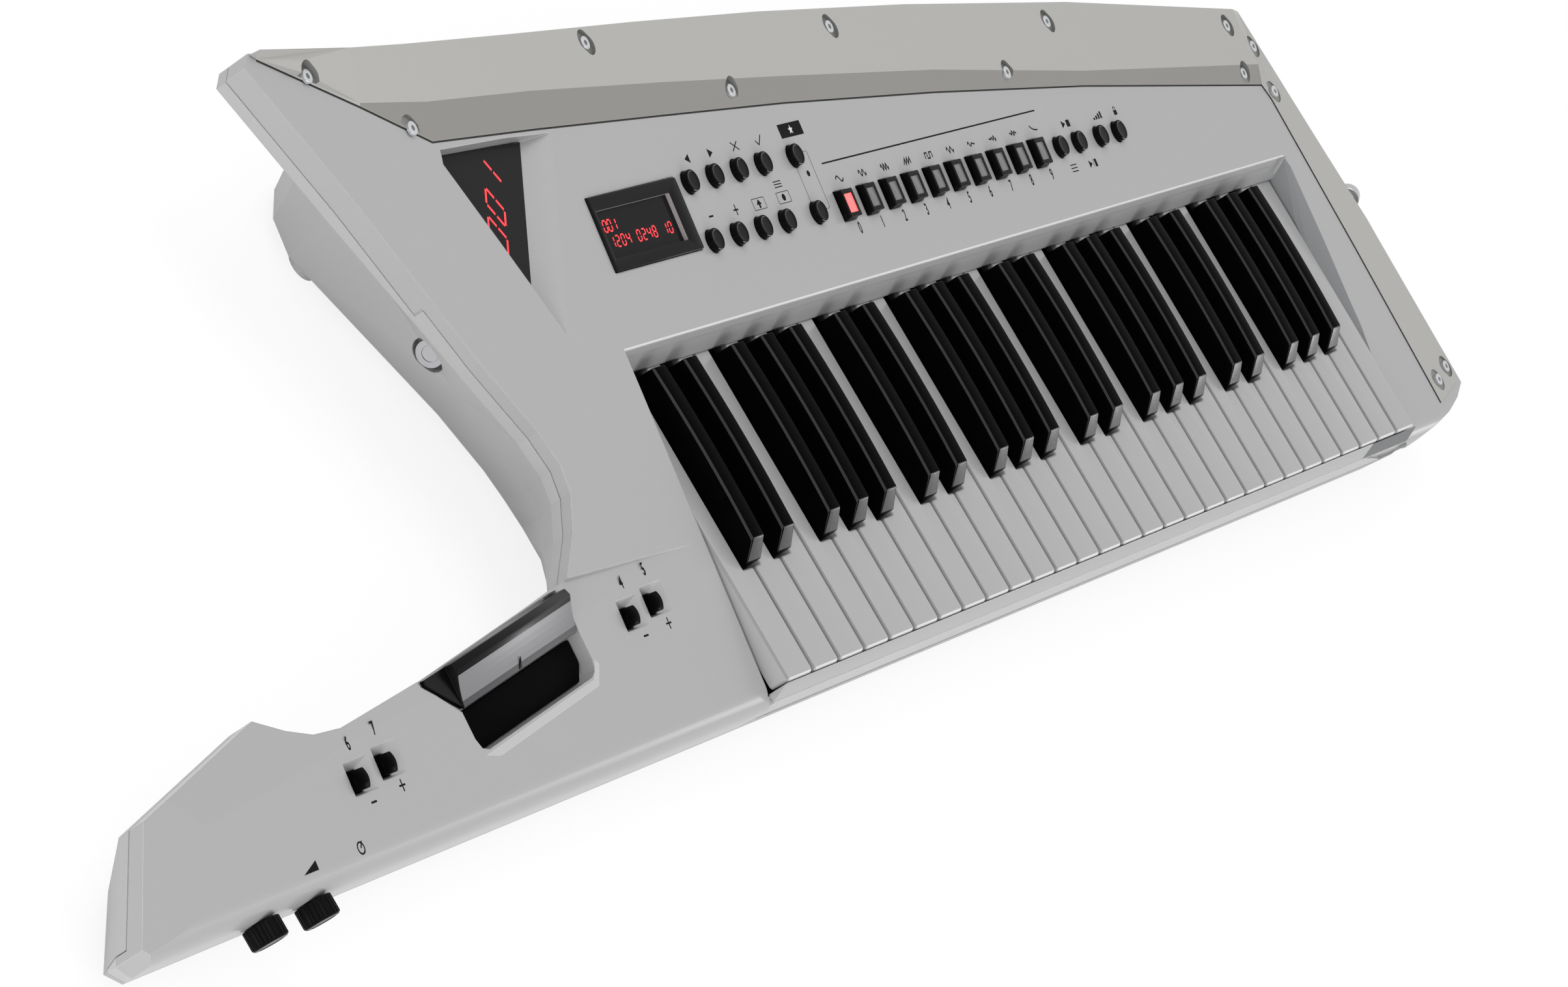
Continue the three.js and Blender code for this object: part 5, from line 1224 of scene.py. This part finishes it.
# Filled shapes by their corners, and filled bars by low x, high x, low v, high v, corner radius and steps
SHAPES = (
    [(107.9, 72.3), (111.8, 70.4), (111.8, 74.2)],
    [(133.0, 72.5), (129.1, 74.4), (129.1, 70.6)],
    [(-358.2, -132.3), (-348.2, -132.3), (-348.2, -128.9)],
    [(153.1, 47.4), (153.1, 45.9), (154.5, 45.9), (154.5, 47.4), (156.0, 47.4), (153.8, 49.6),
     (151.6, 47.4)],
    [(460.7, 45.7), (464.3, 47.4), (460.7, 49.1)],
    [(471.9, 25.5), (475.2, 27.2), (471.9, 28.9)],
)
BARS = (
    (196.2, 217.0, 71.0, 77.0, 0.3, 2),
    (465.7, 469.3, 45.8, 49.0, 0.1, 1),
    *((495.5 + 2.6 * i, 497.1 + 2.6 * i, 45.7, 46.7 + 0.75 * i, 0.1, 1) for i in range(4)),
    (519.0, 522.4, 45.5, 47.7, 0.2, 2),
    (477.9, 480.2, 25.4, 29.0, 0.1, 1),
)

# Frames: width and outline. Dots: radius and middle.
FRAMES = (
    (0.6, circle(2.4, 24, (-318.0, -130.9))),
    (0.25, rectangle(148.2, 159.4, 45.2, 50.2, 0.4, 2)),
    (0.25, rectangle(171.0, 182.4, 45.2, 50.2, 0.4, 2)),
    (0.16, rectangle(198.0, 212.6, 38.6, 64.0, 1.2, 3)),
)
DOTS = ((1.5, (176.7, 47.7)), (1.3, (206.2, 54.6)))
STAR_MIDDLE = (206.6, 73.9)


def wave_paths():
    """Ten small wave shapes, one for each program button, in a box of 7 by 2.6."""
    t = np.linspace(0, 1, 25)
    one, two, three = (np.sin(t * turns * 2 * math.pi) for turns in (1, 2, 3))
    smooth = [one, two, three, two * (1 - t), three * t, three * (1 - np.abs(2 * t - 1)),
              np.exp(-3 * t) * 2 - 1]
    saw = [(0, -1), (0.3, 1), (0.31, -1), (0.63, 1), (0.64, -1), (0.97, 1), (1, -1)]
    steps = [(0, -1), (0.02, 1), (0.32, 1), (0.34, -1), (0.64, -1), (0.66, 1), (0.98, 1), (1, -1)]
    zigzag = [(0, 0), (0.12, 1), (0.38, -1), (0.62, 1), (0.88, -1), (1, 0)]
    curves = [np.stack([t, height], 1) for height in smooth]
    curves[3:3] = [np.array(path, float) for path in (saw, steps, zigzag)]
    return [curve * (7, 1.3) - (3.5, 0) for curve in curves]


def ring_strip(outline, width, low, high):
    """A thin frame round an outline: it rises on the outside, crosses inward and falls on the inside."""
    rings = upright(outline, [(0, low), (0, high), (width, high), (width, low)])
    levels, count = rings.shape[:2]
    k = np.arange(levels)[:, None]
    i = np.arange(count)[None, :]
    j, n = (i + 1) % count, (k + 1) % levels
    quads = np.stack([k * count + i, k * count + j, n * count + j, n * count + i], -1).reshape(-1, 4)
    return outward(rings.reshape(-1, 3), quads.tolist())


def flat_shape(corners, low, high):
    """A thin solid with sharp corners."""
    return block(np.array(corners, float), low, high)


class KEYTAR_OT_markings(bpy.types.Operator):
    """Prints plain figures, lines and signs on the deck and the neck"""
    bl_idname = "keytar.markings"
    bl_label = "Printed marks"

    def execute(self, context):
        ink = millimetres(context.scene.keytar_sizes.ink_height)
        flat, raised = (INK_SUNK, ink), (INK_SUNK, ink + CROSSING)
        dark = [lettering(text, FIGURE_SIZE, FIGURE_SHARE, (x, v), 2 * ink) for text, x, v in FIGURES]
        dark += [stroke(wave + (x, WAVE_V), WAVE_WIDTH, *flat) for wave, x in zip(wave_paths(), WAVE_XS)]
        dark += [stroke(path, width, *flat) for width, path in LINES]
        dark.append(stroke(CROSSING_LINE[1], CROSSING_LINE[0], *raised))
        dark += [block(oblong(1.9, 0.38, 0.05, 1) + place, *flat) for place in MINUS_SIGNS]
        dark += [block(oblong(2.1, 0.34, 0.05, 1) + place, *flat) for place in PLUS_SIGNS]
        dark += [block(oblong(0.32, 2.3, 0.05, 1) + place, *raised) for place in PLUS_SIGNS]
        dark += [flat_shape(corners, *flat) for corners in SHAPES]
        dark += [block(rectangle(*bar), *flat) for bar in BARS]
        dark += [ring_strip(outline, width, *flat) for width, outline in FRAMES]
        dark += [block(circle(radius, 24, middle), *flat) for radius, middle in DOTS]
        build("deck_print", at(DECK, *dark), ["print_ink"], "casing")
        angle = np.arange(10) * math.pi / 5 + math.pi / 2
        star = np.stack([np.cos(angle), np.sin(angle)], 1) * np.tile([2.1, 0.9], 5)[:, None] + STAR_MIDDLE
        star = block(star, ink - 0.01, ink + 0.03)
        build("deck_print_white", at(DECK, star), ["print_white"], "casing")
        return {"FINISHED"}


NODE_FINISHES = {
    "top_case": "casing_plastic", "bottom_case": "base_plastic", "battery_cover": "base_plastic",
    "key_chassis": "chassis_paint", "key_contact_board": "board_lacquer",
    "main_board": "board_lacquer", "panel_board": "board_lacquer", "battery_pack": "battery_wrap",
    "jack_panel": "dark_plastic", "led_window": "well_glass",
}


class KEYTAR_OT_casing(bpy.types.Operator):
    """Gives the casing, chassis, boards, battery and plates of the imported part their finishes"""
    bl_idname = "keytar.casing"
    bl_label = "Casing finishes"

    def execute(self, context):
        for node, finish in NODE_FINISHES.items():
            dress(node, finish)
        return {"FINISHED"}


# Studio
FLOOR_HALF = 9
FLOOR_SHADOW, FLOOR_GLOW = 0.2, 0.84
CAMERA_LENS = 159.46
CAMERA_PLACE = (-2.49001, -0.3250, 1.2520)
CAMERA_AXES = ((0.4293, 0.1510, -0.8905), (-0.5025, 0.8592, -0.0965), (0.7505, 0.4889, 0.4447))

# Each lamp: the property with its power, its size, its place and what it points at
LAMPS = {
    "overhead": ("lamp", 2.4, (-0.5, 1.1, 2.4), (0, 0, 0)),
    "left": ("side", 1.6, (-2.5, -0.5, 0.3), (0, 0, 0.05)),
    "front": ("front", 1.6, (-0.7, -2.4, 0.9), (0, 0, 0)),
    "glint": ("glint", 0.35, (2.6, -1.15, 0.6), (0, 0, 0)),
}


def mix_by_ray(tree, first, second, output):
    """Camera, glossy and transmission rays see the second shader, and all other rays the first."""
    path = add(tree, "LightPath").outputs
    seen = path["Is Camera Ray"]
    for kind in ("Is Glossy Ray", "Is Transmission Ray"):
        seen = add(tree, "Math", {0: seen, 1: path[kind]}, operation="MAXIMUM").outputs[0]
    mix = add(tree, "MixShader", {0: seen, 1: first.outputs[0], 2: second.outputs[0]})
    feed(tree, tree.nodes[output], {"Surface": mix.outputs[0]})


def studio_world(fill):
    """Even light of the fill's brightness, which camera, glossy and transmission rays see as white."""
    world = bpy.data.worlds.new("studio")
    bpy.context.scene.world = world
    world.use_nodes = True
    tree = world.node_tree
    feed(tree, tree.nodes["Background"], {"Color": (1, 1, 1, 1), "Strength": fill})
    white = add(tree, "Background", {"Color": (1, 1, 1, 1)})
    mix_by_ray(tree, tree.nodes["Background"], white, "World Output")


def studio_floor(reflectance):
    """A plain matt floor. What camera, glossy and transmission rays see of it is mostly its own pale
    light and a little of what falls on it, so the object's shadow stays."""
    corners = [(x * FLOOR_HALF, y * FLOOR_HALF, 0) for x, y in ((-1, -1), (1, -1), (1, 1), (-1, 1))]
    mesh = meshed("floor", corners, [[0, 1, 2, 3]])
    floor = linked("floor", mesh)
    paint = bpy.data.materials.new("floor_paint")
    paint.use_nodes = True
    tree = paint.node_tree
    shader = tree.nodes["Principled BSDF"]
    grey, shadow, glow = ((value,) * 3 + (1,) for value in (reflectance, FLOOR_SHADOW, FLOOR_GLOW))
    feed(tree, shader, {"Base Color": grey, "Roughness": 0.9, "Specular IOR Level": 0.0})
    pale = add(tree, "BsdfDiffuse", {"Color": shadow})
    glow = add(tree, "Emission", {"Color": glow})
    both = add(tree, "AddShader", {0: pale.outputs[0], 1: glow.outputs[0]})
    mix_by_ray(tree, shader, both, "Material Output")
    mesh.materials.append(paint)


def studio_lamp(name, power, size, place, aim):
    lamp = bpy.data.lights.new(name, "AREA")
    lamp.shape = "DISK"
    lamp.size = size
    lamp.energy = power
    holder = linked(name, lamp)
    holder.location = place
    holder.rotation_mode = "QUATERNION"
    holder.rotation_quaternion = (Vector(aim) - Vector(place)).to_track_quat("-Z", "Y")


def studio_camera():
    """Place and axes worked out from the photograph's own perspective."""
    camera = bpy.data.cameras.new("camera")
    camera.lens = CAMERA_LENS
    camera.sensor_width = 36.0
    camera.sensor_fit = "HORIZONTAL"
    camera.clip_start, camera.clip_end = 0.05, 60
    holder = linked("camera", camera)
    turn = Matrix(CAMERA_AXES).to_quaternion().normalized().to_matrix().to_4x4()
    holder.matrix_world = Matrix.Translation(CAMERA_PLACE) @ turn
    bpy.context.scene.camera = holder


class KEYTAR_OT_stage(bpy.types.Operator):
    """Sets up the floor, the soft light, the white surroundings and the camera"""
    bl_idname = "keytar.stage"
    bl_label = "Studio"

    def execute(self, context):
        studio = context.scene.keytar_studio
        context.scene.view_settings.view_transform = "Standard"
        studio_world(studio.fill)
        studio_floor(studio.floor)
        for name, (power, *rest) in LAMPS.items():
            studio_lamp(name, getattr(studio, power), *rest)
        studio_camera()
        return {"FINISHED"}


class KEYTAR_PT_panel(bpy.types.Panel):
    bl_label = "Keytar"
    bl_idname = "KEYTAR_PT_panel"
    bl_space_type = "VIEW_3D"
    bl_region_type = "UI"
    bl_category = "Keytar"

    def draw(self, context):
        for group in (getattr(context.scene, name) for name in GROUPS):
            box = self.layout.box()
            for name in group.__annotations__:
                box.prop(group, name)
        for operator in OPERATORS:
            self.layout.operator(operator.bl_idname)


OPERATORS = (
    KEYTAR_OT_casing, KEYTAR_OT_rail, KEYTAR_OT_white_keys, KEYTAR_OT_black_keys, KEYTAR_OT_buttons,
    KEYTAR_OT_neck_switches, KEYTAR_OT_touch_parts, KEYTAR_OT_knobs, KEYTAR_OT_strap_pins, KEYTAR_OT_blade,
    KEYTAR_OT_screws, KEYTAR_OT_displays, KEYTAR_OT_markings, KEYTAR_OT_stage,
)
GROUPS = {"keytar_colours": KeytarColours, "keytar_sizes": KeytarSizes, "keytar_studio": KeytarStudio}


def register():
    for kind in (*GROUPS.values(), *OPERATORS, KEYTAR_PT_panel):
        bpy.utils.register_class(kind)
    for name, kind in GROUPS.items():
        setattr(bpy.types.Scene, name, PointerProperty(type=kind))


def unregister():
    for name in GROUPS:
        delattr(bpy.types.Scene, name)
    for kind in (KEYTAR_PT_panel, *reversed(OPERATORS), *GROUPS.values()):
        bpy.utils.unregister_class(kind)


def main():
    register()
    for operator in OPERATORS:
        call = getattr(bpy.ops.keytar, operator.bl_idname.split(".")[1])
        if "FINISHED" not in call():
            raise RuntimeError(f"{operator.bl_label} did not finish")


if __name__ == "__main__":
    main()
